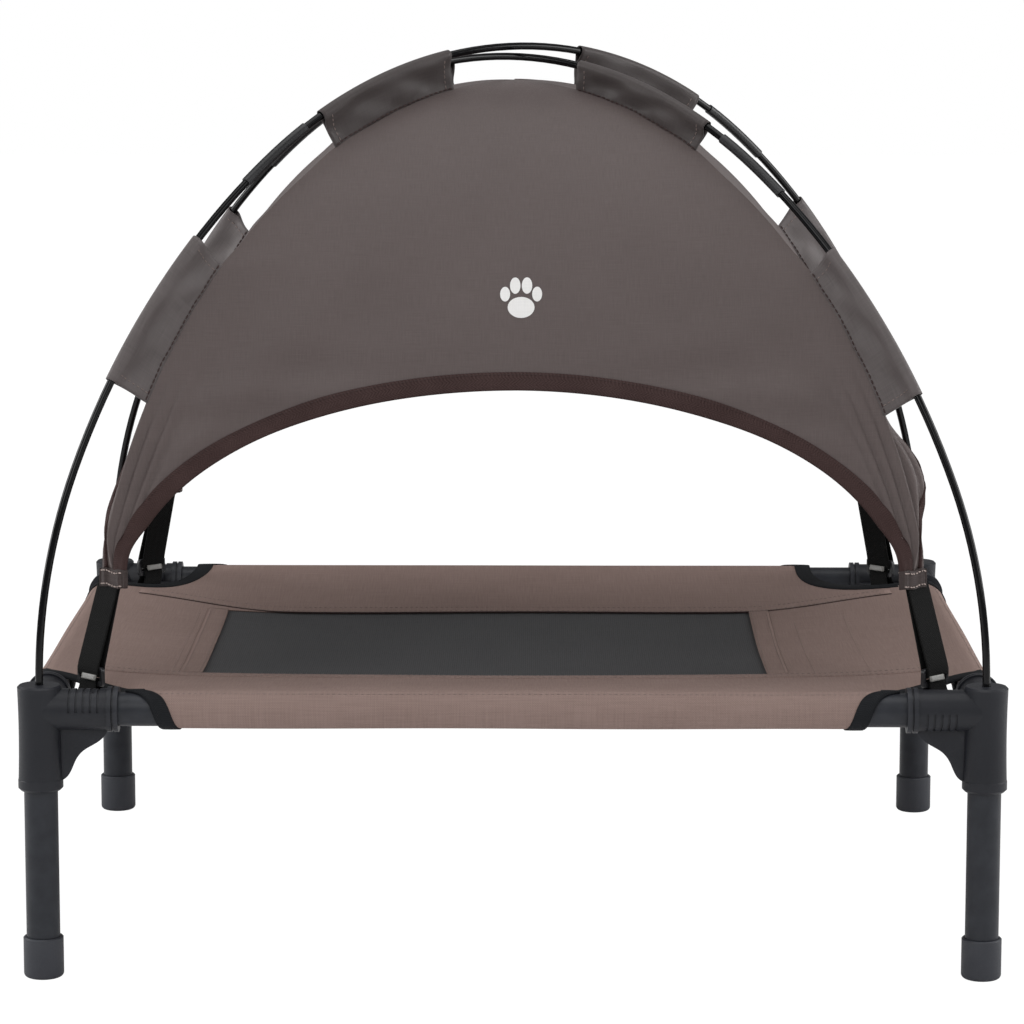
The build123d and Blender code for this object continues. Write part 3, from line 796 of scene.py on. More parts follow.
def dress(
    piece: bpy.types.Object, finish: object, body: str | None
) -> bpy.types.Object:
    """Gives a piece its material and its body.

    Args:
        piece: The piece.
        finish: A finish with a material method.
        body: CAD body it moves with, or None where it bends between two.

    Returns:
        The piece.
    """
    piece.data.materials.clear()
    piece.data.materials.append(finish.material())
    if body:
        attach(piece, body)
    LOG.info("%s: %d faces", piece.name, len(piece.data.polygons))
    return piece


def thicken(piece: bpy.types.Object, thickness: float) -> None:
    """Adds a wall of this thickness in millimetres, inwards from the surface."""
    wall = piece.modifiers.new("wall", "SOLIDIFY")
    wall.thickness = thickness * MM
    wall.offset = -1.0
    wall.use_even_offset = False


# ---------------------------------------------------------------- canopy poles
@dataclass
class PoleLine:
    """Centre line of a half pole: three arcs, from the crossing down to the post's top."""

    crossing: float  # height added at the crossing
    rise: float = 471.0
    radius: float = POLE_TURN
    joint: float = math.radians(36.0)
    low: float = math.radians(66.0)
    arcs: list[tuple[float, float, float, float, float]] = field(init=False)

    def __post_init__(self) -> None:
        """Finds the two lower radii, so that the line ends upright over the post's centre."""
        rise = self.rise + self.crossing
        top, low = self.joint, self.low
        span = DIAGONAL - self.radius * math.sin(top)
        fall = rise - self.radius * (1 - math.cos(top))
        outwards = [math.sin(low) - math.sin(top), 1 - math.sin(low)]
        downwards = [math.cos(top) - math.cos(low), math.cos(low)]
        matrix = np.array([outwards, downwards])
        middle, bottom = np.linalg.solve(matrix, [span, fall])
        self.arcs = []
        out, height = 0.0, POST_TOP + rise
        spans = ((self.radius, 0.0, top), (middle, top, low), (bottom, low, math.pi / 2))
        for radius, start, end in spans:
            centre = (out - radius * math.sin(start), height - radius * math.cos(start))
            self.arcs.append((radius, *centre, start, end))
            out = centre[0] + radius * math.sin(end)
            height = centre[1] + radius * math.cos(end)

    def point(self, slope: Array) -> tuple[Array, Array]:
        """Distance out and height where the pole slopes down at this angle."""
        which = [(slope >= a[3] - 1e-9) & (slope <= a[4] + 1e-9) for a in self.arcs]
        out = np.select(which, [a[1] + a[0] * np.sin(slope) for a in self.arcs])
        height = np.select(which, [a[2] + a[0] * np.cos(slope) for a in self.arcs])
        return out, height


OVER, UNDER = PoleLine(4.2), PoleLine(-4.2)
POLE_OF = {
    Corner.FRONT_LEFT: OVER,
    Corner.BACK_RIGHT: OVER,
    Corner.FRONT_RIGHT: UNDER,
    Corner.BACK_LEFT: UNDER,
}


# ---------------------------------------------------------------- canopy
@dataclass
class CanopyShape:
    """The vault of the canopy: four walls that meet along two crossing ridges.

    A wall point is given by c, its share across from one ridge (-1) to the other (1), and by an
    angle that runs from the crown (0) towards the hem (a quarter turn at the post tops).
    """

    half_span: float = 415.0
    rise: float = 448.0
    span_power: float = 1.97
    rise_power: float = 1.92
    arch_base: float = 300.0
    arch_rise: float = 152.0
    arch_half: tuple[float, float] = (298.0, 236.0)
    band_offset: tuple[float, float] = (54.0, 44.0)
    band_half: float = 13.6
    band_top: float = 308.0
    gather_top: float = 350.0
    bow: float = 9.0

    def ridge(self, angle: Array) -> tuple[Array, Array]:
        """Distance out along the diagonal, and height, of the super-ellipse."""
        out = self.half_span * np.sin(angle) ** (2 / self.span_power)
        height = POST_TOP + self.rise * np.cos(angle) ** (2 / self.rise_power)
        return out, height

    def angle_at(self, height: Array) -> Array:
        """Angle of the ridge at this height."""
        share = np.clip((np.asarray(height, float) - POST_TOP) / self.rise, 0, 1)
        return np.arccos(share ** (self.rise_power / 2))

    def spreads(self, side: Side) -> tuple[float, float]:
        """Shares of the ridge distance that go across and outwards."""
        return (SPREAD[0], SPREAD[1]) if side.long else (SPREAD[1], SPREAD[0])

    def half_arch(self, side: Side) -> float:
        """Half the doorway's width at its base."""
        return self.arch_half[0] if side.long else self.arch_half[1]

    def arch_width(self, side: Side, height: Array) -> Array:
        """Half the doorway's width at this height."""
        share = np.clip((height - self.arch_base) / self.arch_rise, 0, 1)
        return self.half_arch(side) * np.sqrt(1 - share**2)

    def folds(self, side: Side, c: Array, height: Array, across: Array, width: Array) -> Array:
        """How far the cloth stands out of the plain vault, in millimetres.

        It bows inwards between the ridges, pleats run down beside the ridges, tension folds fan
        out of the corner bands, and a few long waves are left over.
        """
        above = height - self.arch_base
        low_part = np.clip(above, 0, 170)
        level = np.clip(above / (POST_TOP + self.rise - self.arch_base), 0, 1)
        out = -self.bow * (1 - c**2) * np.sin(np.pi * np.clip(level * 1.05, 0, 1)) ** 0.8
        from_ridge = width - np.abs(across)
        pitch = 5.6 + 0.045 * low_part
        groove = 1 - np.abs(np.sin(np.pi * (from_ridge / pitch + 0.35))) ** 0.55
        reach = 17 + 0.12 * low_part
        out -= 5.2 * smooth(height, 478, 380) * np.exp(-((from_ridge / reach) ** 4)) * groove
        rise = np.maximum(above + 4, 1)
        angle = np.arctan2(from_ridge + 8, rise)
        reach = np.hypot(from_ridge + 8, rise)
        phase = {Side.FRONT: 0.4, Side.RIGHT: 1.9, Side.BACK: 3.1, Side.LEFT: 4.4}[side]
        lean = np.where(across < 0, 0.0, 1.3)
        fan = np.sin(17 * angle + phase + lean) * np.exp(-reach / 120) * smooth(from_ridge, 0, 60)
        out += 4.6 * fan * smooth(reach, 30, 90)
        inside = (1 - c**4) * smooth(height, 676, 610)
        out += inside * 1.3 * np.sin(across / 83 + height / 52 + phase)
        out += inside * 0.9 * np.sin(across / 47 - height / 71 + 2 * phase)
        scallop = smooth(height, 540, 560) * smooth(height, 630, 610)
        out -= 2.2 * scallop * np.exp(-((from_ridge / 45) ** 2))
        out += self.flare(side, c, height, from_ridge)
        span = smooth(from_ridge, 4, 50) * smooth(from_ridge, 250, 110)
        climb = height - 432 - 0.16 * from_ridge + 0.0006 * from_ridge**2
        out += 1.5 * span * np.sin(climb / 6.1 + phase) * np.exp(-((climb / 30) ** 2))
        climb = height - 500 + 0.22 * from_ridge
        out += 0.9 * span * np.sin(climb / 8.3 - phase) * np.exp(-((climb / 34) ** 2))
        crown = smooth(height, 640, 668)
        out += crown * 0.8 * np.sin(across / 6.5 + phase) * (1 - c**2)
        return out

    def flare(self, side: Side, c: Array, height: Array, from_ridge: Array) -> Array:
        """Outward bulge of a side wall's doorway edge, just behind each front ridge."""
        if side.long:
            return np.zeros_like(height)
        size, middle, half = (15.0, 380.0, 34.0) if side is Side.RIGHT else (4.0, 352.0, 26.0)
        front = c < 0 if side is Side.RIGHT else c > 0
        return size * front * smooth(from_ridge, 0, 20) * np.exp(-(((height - middle) / half) ** 2))

    def wall(self, side: Side, c: Array, angle: Array, lift: Array | float = 0.0) -> Array:
        """Points of one wall, lifted out of the cloth by so many millimetres.

        Args:
            side: Which wall.
            c: Share across, -1 to 1.
            angle: Angle from the crown.
            lift: Distance out of the cloth.

        Returns:
            Points, with a last axis of 3.
        """
        c, angle = np.broadcast_arrays(np.asarray(c, float), np.asarray(angle, float))
        safe = np.clip(angle, 1e-4, None)
        step = 1e-4
        out, height = self.ridge(safe)
        out1, height1 = self.ridge(safe + step)
        slope_out, slope_down = out1 - out, height - height1
        spread_across, spread_out = self.spreads(side)
        across = c * spread_across * out
        diagonal = side.across * (np.sign(c)[..., None] * spread_across) + side.facing * spread_out
        wall_normal = unit(
            side.facing * slope_down[..., None] + UP * (spread_out * slope_out)[..., None]
        )
        ridge_normal = unit(diagonal * slope_down[..., None] + UP * slope_out[..., None])
        near = (np.abs(c) ** 10)[..., None]
        normal = unit(wall_normal * (1 - near) + ridge_normal * near)
        fold = self.folds(side, c, height, across, spread_across * out)
        base = side.across * across[..., None] + side.facing * (spread_out * out)[..., None]
        base = base + UP * height[..., None]
        points = base + normal * fold[..., None]

        # gathered onto the corner band
        edge = self.arch_width(side, height)
        width = spread_across * out
        share = np.clip((np.abs(across) - edge) / np.maximum(width - edge, 1e-6), -0.3, 1)
        weight = smooth(height, self.gather_top, self.band_top) * smooth(share, -0.3, 0.0)
        sign = np.where(c < 0, -1.0, 1.0)[..., None]
        first, second = self.band_offset if side.long else self.band_offset[::-1]
        half_across, half_out = side.halves
        middle = side.across * sign * (half_across - first) + side.facing * (half_out - second)
        along = (side.facing - side.across * sign) / math.sqrt(2)
        faces_out = (side.facing + side.across * sign) / math.sqrt(2)
        t = 1 - share
        if side.long:
            run = np.interp(t, [0, 0.44, 1, 1.3], [0, 0.15, 1, 1.12])
            behind = 0.0 * t
        else:
            run = np.interp(t, [0, 0.46, 0.6, 1.3], [0, 1.0, 0.95, 0.1])
            behind = 3.2 * smooth(t, 0.42, 0.6)
        deep = 0.9 * np.arcsin(0.95 * np.cos(2 * np.pi * 2.2 * t)) - behind
        band = middle + along * (self.band_half * run)[..., None] + faces_out * deep[..., None]
        band = band + UP * height[..., None]
        weight = weight[..., None]
        normal = unit(normal * (1 - weight) + faces_out * weight)
        points = points * (1 - weight) + band * weight
        return points + normal * np.asarray(lift, float)[..., None]


@dataclass
class Canopy:
    """The tent cloth with its doorway bindings, corner bands, pole sleeves and printed mark."""

    shape: CanopyShape = field(default_factory=CanopyShape)
    cloth: float = 0.7
    binding_width: float = 13.0
    columns: int = 86
    rows: int = 84
    strip_columns: int = 14
    sleeve_spans: dict[str, tuple[float, float]] = field(
        default_factory=lambda: {"upper": (9.6, 28.6), "lower": (45.6, 58.7)}
    )
    band_size: tuple[float, float] = (29.0, 6.4)
    band_heights: tuple[float, float] = (298.4, 312.8)
    lower_turn: float = 585.0  # radius of the pole's arc under the lower sleeves
    sleeve_radius: float = 4.6
    area: float = 0.0

    def doorway_edge(self, side: Side) -> tuple[Array, Array]:
        """Half of a doorway's ellipse from its top, as share across and height, c only growing."""
        shape = self.shape
        turn = np.linspace(0, np.pi / 2, 400)
        height = shape.arch_base + shape.arch_rise * np.cos(turn)
        out, _ = shape.ridge(shape.angle_at(height))
        c = shape.half_arch(side) * np.sin(turn) / (shape.spreads(side)[0] * out)
        last = int(np.argmax(c)) + 1
        return c[:last], height[:last]

    def gore(self, side: Side) -> tuple[Array, Array, Array]:
        """One wall's grid: columns end on the doorway's ellipse or on the corner bands."""
        shape = self.shape
        c_edge, z_edge = self.doorway_edge(side)
        t = np.linspace(-1, 1, self.columns)
        edge_c = c_edge[-1] * (0.1 * t + 0.9 * np.sin(np.pi * t / 2))
        edge_z = np.interp(np.abs(edge_c), c_edge, z_edge)
        spread = shape.spreads(side)[0]
        strip = np.linspace(edge_c[-1], 1, self.strip_columns + 1)[1:]
        c = np.concatenate([-strip[::-1], edge_c, strip])
        low = np.full(self.strip_columns, shape.arch_base)
        end = shape.angle_at(np.concatenate([low, edge_z, low]))
        down = np.linspace(0, 1, self.rows) ** 0.92
        angle = down[:, None] * end[None, :]
        cs = np.broadcast_to(c, angle.shape)
        points = shape.wall(side, cs, angle)
        out, _ = shape.ridge(angle)
        flat_down = angle * 560.0
        uv = np.stack([cs * spread * out, flat_down], -1) * MM
        self.area += grid_area(points)
        return points, grid_faces(*angle.shape), uv

    def build_cloth(self) -> bpy.types.Object:
        """The whole tent cloth as one sheet of four walls, sewn along the ridges."""
        piece = mesh_object("canopy_cloth", *joined_grids([self.gore(side) for side in Side]))
        thicken(piece, self.cloth)
        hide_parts(*(f"canopy_panel_{side.label}" for side in Side))
        return dress(piece, CANOPY, "canopy")

    def binding_grid(self, side: Side) -> tuple[Array, Array, Array]:
        """Tape round one doorway: a flat closed outline that grips the cloth's edge."""
        shape = self.shape
        half = shape.half_arch(side)
        w = self.binding_width
        outline = np.array(
            [
                (-1.1, -0.3), (-0.9, 0.7), (0.2, 1.2), (w * 0.33, 1.25), (w * 0.66, 1.2),
                (w - 0.6, 1.15), (w, 0.7), (w, -1.2), (w - 0.6, -1.8), (w * 0.66, -1.85),
                (w * 0.33, -1.9), (0.2, -1.8), (-0.9, -1.3),
            ]
        )
        turn = np.linspace(-np.pi / 2, np.pi / 2, 150)
        grow = outline[:, 0]
        x = (half + grow)[None] * np.sin(turn)[:, None]
        z = shape.arch_base + (shape.arch_rise + grow)[None] * np.cos(turn)[:, None]
        angle = shape.angle_at(z)
        c = x / (shape.spreads(side)[0] * shape.ridge(angle)[0])
        body = shape.wall(side, c, angle, np.broadcast_to(outline[:, 1], c.shape))
        points = capped(body)
        along = np.concatenate([[turn[0]], turn, [turn[-1]]]) * (half + shape.arch_rise) / 2
        uv = cloth_places(along, girth_of(outline))
        return points, grid_faces(len(points), len(outline), ring=True), uv

    def build_bindings(self) -> list[bpy.types.Object]:
        """The four doorway bindings."""
        made = []
        for side in Side:
            piece = mesh_object(f"doorway_binding_{side.label}", *self.binding_grid(side), closed=True)
            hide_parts(f"arch_binding_{side.label}")
            made.append(dress(piece, BINDING, "canopy"))
        return made

    def flap_depth(self, corner: Corner, slope: Array) -> Array:
        """Distance from the pole's centre in to the ridge, along the pole's own normal."""
        pole_out, pole_height = POLE_OF[corner].point(slope)
        out, height = self.shape.ridge(np.linspace(0.02, 1.55, 1200))
        depth = np.empty_like(slope)
        for k, angle in enumerate(slope):
            away, above = out - pole_out[k], height - pole_height[k]
            ahead = away * math.cos(angle) - above * math.sin(angle)
            below = -away * math.sin(angle) - above * math.cos(angle)
            depth[k] = np.interp(0.0, ahead, below)
        return depth

    def sleeve_grid(
        self, place: str, corner: Corner, inset: float = 0.0
    ) -> tuple[Array, Array, Array, Array]:
        """Cloth folded over a pole: down one face of the flap, round the pole, and back.

        Across the flap its half thickness falls from the pole's radius to a double layer.

        Args:
            place: upper or lower.
            corner: Which ridge.
            inset: Distance left off at both ends, in millimetres.

        Returns:
            Points, faces, uv, and the outward normals.
        """
        first, last = (math.radians(a) for a in self.sleeve_spans[place])
        length = POLE_TURN if place == "upper" else self.lower_turn
        slope = np.linspace(first + inset / length, last - inset / length, 46)
        pole_out, pole_height = POLE_OF[corner].point(slope)
        depth = self.flap_depth(corner, slope) + 1.0
        share = np.linspace(0, 1, 15)
        flap = depth[:, None] * (1 - share[None])
        turn = np.linspace(0, np.pi, 13)[1:-1]
        narrow = 0.75 + 3.75 * np.exp(-((flap / 7.5) ** 2))
        run = (slope - first)[:, None] / (last - first)
        phase = self.crease_phase(corner, place)
        lean = share[None] * 2.6
        wave = 1.5 * np.sin(run * 8 + lean + phase) + 1.1 * np.sin(run * 17 - 1.7 * lean + 2 * phase)
        pucker = np.sin(run * 44 + phase) + np.sin(run * 29 - phase)
        wave = wave + 0.55 * pucker * np.exp(-(((share[None] - 0.12) / 0.16) ** 2))
        wave = wave * np.sin(np.pi * share)[None] ** 0.8
        side_a = np.stack([-narrow + wave, -flap], -1)
        around = self.sleeve_radius * np.stack([-np.cos(turn), np.sin(turn)], -1)
        around = np.broadcast_to(around, (len(slope),) + around.shape)
        side_b = np.stack([narrow + wave, -flap], -1)[:, ::-1]
        outline = np.concatenate([side_a, around, side_b], axis=1)
        sx, sy = corner.value
        outwards = np.array([sx * SPREAD[0], sy * SPREAD[1], 0.0])
        aside = np.cross(outwards, UP)
        normal = outwards * np.sin(slope)[:, None] + UP * np.cos(slope)[:, None]
        centre = outwards * pole_out[:, None] + UP * pole_height[:, None]
        points = centre[:, None] + aside * outline[..., :1] + normal[:, None] * outline[..., 1:]
        uv = cloth_places(slope * length, walked(outline[0]))
        tangent = unit(np.gradient(points, axis=1))
        forward = unit(np.gradient(points, axis=0))
        out = unit(np.cross(tangent, forward))
        return points, grid_faces(*points.shape[:2])[:, ::-1], uv, out

    def crease_phase(self, corner: Corner, place: str) -> float:
        """A fixed phase for each sleeve, so that no two of them crease alike."""
        return 1.7 * list(Corner).index(corner) + (0.9 if place == "lower" else 0.0)

    def build_sleeves(self) -> list[bpy.types.Object]:
        """The eight pole sleeves, their stitches, and dark cords along their base seams that paint the
        shade of the puckers.
        """
        made = []
        # pucker lays long dark grains along each sleeve's base seam: painted shade of its puckers.
        thread, pucker = Thread(), Thread(4.2, 0.5, 0.75)
        stitches, seams = [], []
        for corner in Corner:
            for place in self.sleeve_spans:
                grid = self.sleeve_grid(place, corner)[:3]
                piece = mesh_object(f"pole_sleeve_{place}_{corner.label}", *grid)
                thicken(piece, 0.6)
                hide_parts(f"sleeve_{place}_{corner.label}")
                # Painted shade: the upper sleeves get the darker copy of the sleeve cloth.
                finish = SHADED_UPPER_SLEEVE if place == "upper" else LOW_SLEEVE
                made.append(dress(piece, finish, "canopy"))
                points, _, _, out = self.sleeve_grid(place, corner, 7.5)
                for row in (0, -1):
                    for part in (slice(1, 14), slice(-14, -1)):
                        stitches.append(thread.row(points[row, part], out[row, part]))
                points, _, _, out = self.sleeve_grid(place, corner, 1.0)
                for column in (1, -2):
                    seams.append(pucker.row(points[:, column], out[:, column]))
        piece = mesh_object("sleeve_stitches", *joined_grids(stitches))
        made.append(dress(piece, DARK_THREAD, "canopy"))
        # Painted shade: dark umber cords along the sleeve seams.
        piece = mesh_object("sleeve_seam_painted_shade", *joined_grids(seams))
        made.append(dress(piece, UMBER_THREAD_AND_SHADE_CORD, "canopy"))
        return made

    def band_pleat(self, across: Array, phase: float) -> Array:
        """Uneven pleats of a corner band, in millimetres out of its face."""
        return 0.62 * np.sin(across * 1.05 + phase) + 0.4 * np.sin(across * 1.9 - 2 * phase)

    def build_bands(self) -> list[bpy.types.Object]:
        """Corner bands: the gathered cloth pressed flat, with pleats and two rows of stitches, its
        cloth darkened as painted shade of the gathers.
        """
        made, stitches = [], []
        thread = Thread(2.7, 0.9, 0.62)
        width, depth = self.band_size
        low, high = self.band_heights
        for corner in Corner:
            sx, sy = corner.value
            middle = np.append((sx, sy) * (HALF - self.shape.band_offset), 0)
            faces_out = np.array([sx, sy, 0]) / math.sqrt(2)
            along = np.array([-sy, sx, 0]) / math.sqrt(2)
            turn = np.linspace(0, 2 * np.pi, 72, endpoint=False)
            across = np.sign(np.cos(turn)) * np.abs(np.cos(turn)) ** 0.35 * width / 2
            outward = np.sign(np.sin(turn)) * np.abs(np.sin(turn)) ** 0.35 * depth / 2
            outward = outward + self.band_pleat(across, sx + sy) * np.sign(outward)
            level = np.concatenate([[0], np.linspace(0, 1, 7), [1]])
            swell = np.array([0, 0.9, 0.97, 0.94, 1.02, 0.94, 0.97, 0.9, 0])
            height = low + (high - low) * level
            points = (
                middle
                + along * (across[None] * np.where(swell > 0, 1, 0)[:, None])[..., None]
                + faces_out * (outward[None] * swell[:, None])[..., None]
                + UP * (height[:, None] + 0.7 * np.sin(across / 3.1 + sx + 2 * sy))[..., None]
            )
            grid = (points, grid_faces(9, 72, ring=True), cloth_places(height, turn * 12))
            piece = mesh_object(f"corner_band_{corner.label}", *grid, closed=True)
            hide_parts(f"hem_band_{corner.label}")
            # Painted shade: the band cloth is a darker copy of the canopy cloth.
            made.append(dress(piece, SHADED_BAND, "canopy"))
            run = np.linspace(-width / 2 + 1.5, width / 2 - 1.5, 30)
            for face in (1, -1):
                bulge = depth / 2 + self.band_pleat(run, sx + sy)
                for z in (low + 2.0, high - 2.0):
                    rise = z + 0.7 * np.sin(run / 3.1 + sx + 2 * sy) + 0.35 * np.sin(run * 1.9)
                    line = middle + along * run[:, None] + faces_out * face * bulge[:, None]
                    line = line + UP * rise[:, None]
                    stitches.append(thread.row(line, np.broadcast_to(faces_out * face, line.shape)))
        piece = mesh_object("band_stitches", *joined_grids(stitches))
        made.append(dress(piece, THREAD, "canopy"))
        return made

    def build_binding_stitches(self) -> bpy.types.Object:
        """A row of stitches along each doorway binding, near its upper edge."""
        thread = Thread(2.4, 1.2, 0.3)
        rows = []
        shape = self.shape
        for side in Side:
            half = shape.half_arch(side)
            last = 1.15 if side.long else 0.85
            turn = np.linspace(-last, last, 140)
            grow = self.binding_width - 2.0
            z = shape.arch_base + (shape.arch_rise + grow) * np.cos(turn)
            angle = shape.angle_at(z)
            c = (half + grow) * np.sin(turn) / (shape.spreads(side)[0] * shape.ridge(angle)[0])
            near, far = shape.wall(side, c, angle, 1.2), shape.wall(side, c, angle, 2.2)
            rows.append(thread.row(near, unit(far - near)))
        piece = mesh_object("doorway_stitches", *joined_grids(rows))
        return dress(piece, UMBER_THREAD_AND_SHADE_CORD, "canopy")

    def build_print(self) -> bpy.types.Object:
        """A plain paw print on the front: one wide pad and four toes, each a flat disc."""
        discs = (
            (0, -5.5, 10.5, 8.0), (-12.5, 4.5, 3.9, 5.6), (-4.6, 11.0, 4.1, 6.2),
            (4.6, 11.0, 4.1, 6.2), (12.5, 4.5, 3.9, 5.6),
        )
        grids = []
        radius = np.linspace(0, 1, 5)
        turn = np.linspace(0, 2 * np.pi, 28, endpoint=False)
        for x, z, wide, tall in discs:
            across = PAW_ASIDE + x + wide * radius[:, None] * np.cos(turn)
            height = PAW_HEIGHT + z + tall * radius[:, None] * np.sin(turn)
            angle = self.shape.angle_at(height)
            c = across / (SPREAD[0] * self.shape.ridge(angle)[0])
            points = self.shape.wall(Side.FRONT, c, angle, 0.35)
            uv = np.stack([across, height], -1) * MM
            grids.append((points, grid_faces(5, 28, ring=True), uv))
        piece = mesh_object("paw_print", *joined_grids(grids))
        return dress(piece, PRINT, "canopy")

    def build(self) -> None:
        cloth = self.build_cloth()
        others = self.build_bindings() + self.build_sleeves() + self.build_bands()
        others += [self.build_binding_stitches(), self.build_print()]
        LOG.info("canopy cloth area %.3f m2", self.area)


# ---------------------------------------------------------------- bed
@dataclass
class BedShape:
    """Top surface of the sling bed and the pockets round the rails."""

    top: float = 225.4
    sag: float = 19.5
    pocket: float = 14.6
    window_x: tuple[float, float] = (-250.0, 204.0)
    window_y: tuple[float, float] = (-156.0, 138.0)
    cut: dict[Corner, tuple[float, float]] = by_corner((67.0, 67.0), (76.0, 80.0), (98.0, 78.0))
    cut_power: dict[Corner, float] = by_corner(2.6, 1.9, 3.2)
    droop: dict[Corner, float] = by_corner(8.5, 4.0, 0.5)

    def height(self, x: Array, y: Array) -> Array:
        """Height of the bed's top: a basin that is level along the rails, with soft waves."""
        across = np.clip(np.abs(y) / HALF[1], 0, 1)
        along = np.clip(np.abs(x) / HALF[0], 0, 1)
        hollow = (1 - across**2.2) * (1 - along**5)
        z = self.top - self.sag * hollow
        z = z + 0.7 * hollow * np.sin(x / 61 + y / 90) + 0.5 * hollow * np.sin(y / 37 - x / 140)
        for corner, (cut_x, cut_y) in self.cut.items():
            sx, sy = corner.value
            u, v = np.maximum(HALF[0] - sx * x, 0), np.maximum(HALF[1] - sy * y, 0)
            power = self.cut_power[corner]
            reach = ((u / cut_x) ** power + (v / cut_y) ** power) ** (1 / power)
            turn = np.arctan2(v, u)
            fall = np.exp(-((np.maximum(reach - 1, 0) * cut_y / 26) ** 2)) * np.sin(2 * turn) ** 2
            z = z - self.droop[corner] * fall
        return z

    def top_points(self, x: Array, y: Array, lift: float = 0.0) -> Array:
        """Points on the bed's top, lifted straight up."""
        return np.stack([x, y, self.height(x, y) + lift], -1)

    def slant(self, side: Side, corner: Corner, turn: Array) -> Array:
        """Where a side's pocket ends, measured from the post's centre, by angle round the rail.

        It starts at the cut-out on top of the rail, runs back fast over the first quarter turn,
        and slowly from there.
        """
        t = np.clip(turn, 0, np.pi)
        cut = self.cut[corner][0 if side.long else 1]
        return cut + 21 * (1 - np.exp(-t / 0.6)) + 8 * (t / np.pi) ** 2

    def corner_ends(self, side: Side) -> tuple[Corner, Corner]:
        """Corners at the start and at the end of a side."""
        return {
            Side.FRONT: (Corner.FRONT_LEFT, Corner.FRONT_RIGHT),
            Side.RIGHT: (Corner.FRONT_RIGHT, Corner.BACK_RIGHT),
            Side.BACK: (Corner.BACK_RIGHT, Corner.BACK_LEFT),
            Side.LEFT: (Corner.BACK_LEFT, Corner.FRONT_LEFT),
        }[side]

    def pocket_points(self, side: Side, along: Array, turn: Array, lift: Array | float = 0.0) -> Array:
        """Points on a rail pocket by place along the rail and angle round it.

        The angle is 0 on top and a quarter turn on the outside. The cloth has a shallow crease
        along its face and slow waves.
        """
        half_out = side.halves[1]
        crease = -0.55 * np.exp(-(((turn - 1.15) / 0.22) ** 2))
        wave = 0.25 * np.sin(along / 43 + turn * 2) * np.clip(turn, 0, 1)
        radius = self.pocket + crease + wave + lift
        out = half_out + radius * np.sin(turn)
        rise = RAIL_HEIGHT + radius * np.cos(turn)
        rise = rise + (self.top - RAIL_HEIGHT - self.pocket) * np.cos(np.clip(turn, 0, np.pi / 2))
        return side.across * along[..., None] + side.facing * out[..., None] + UP * rise[..., None]


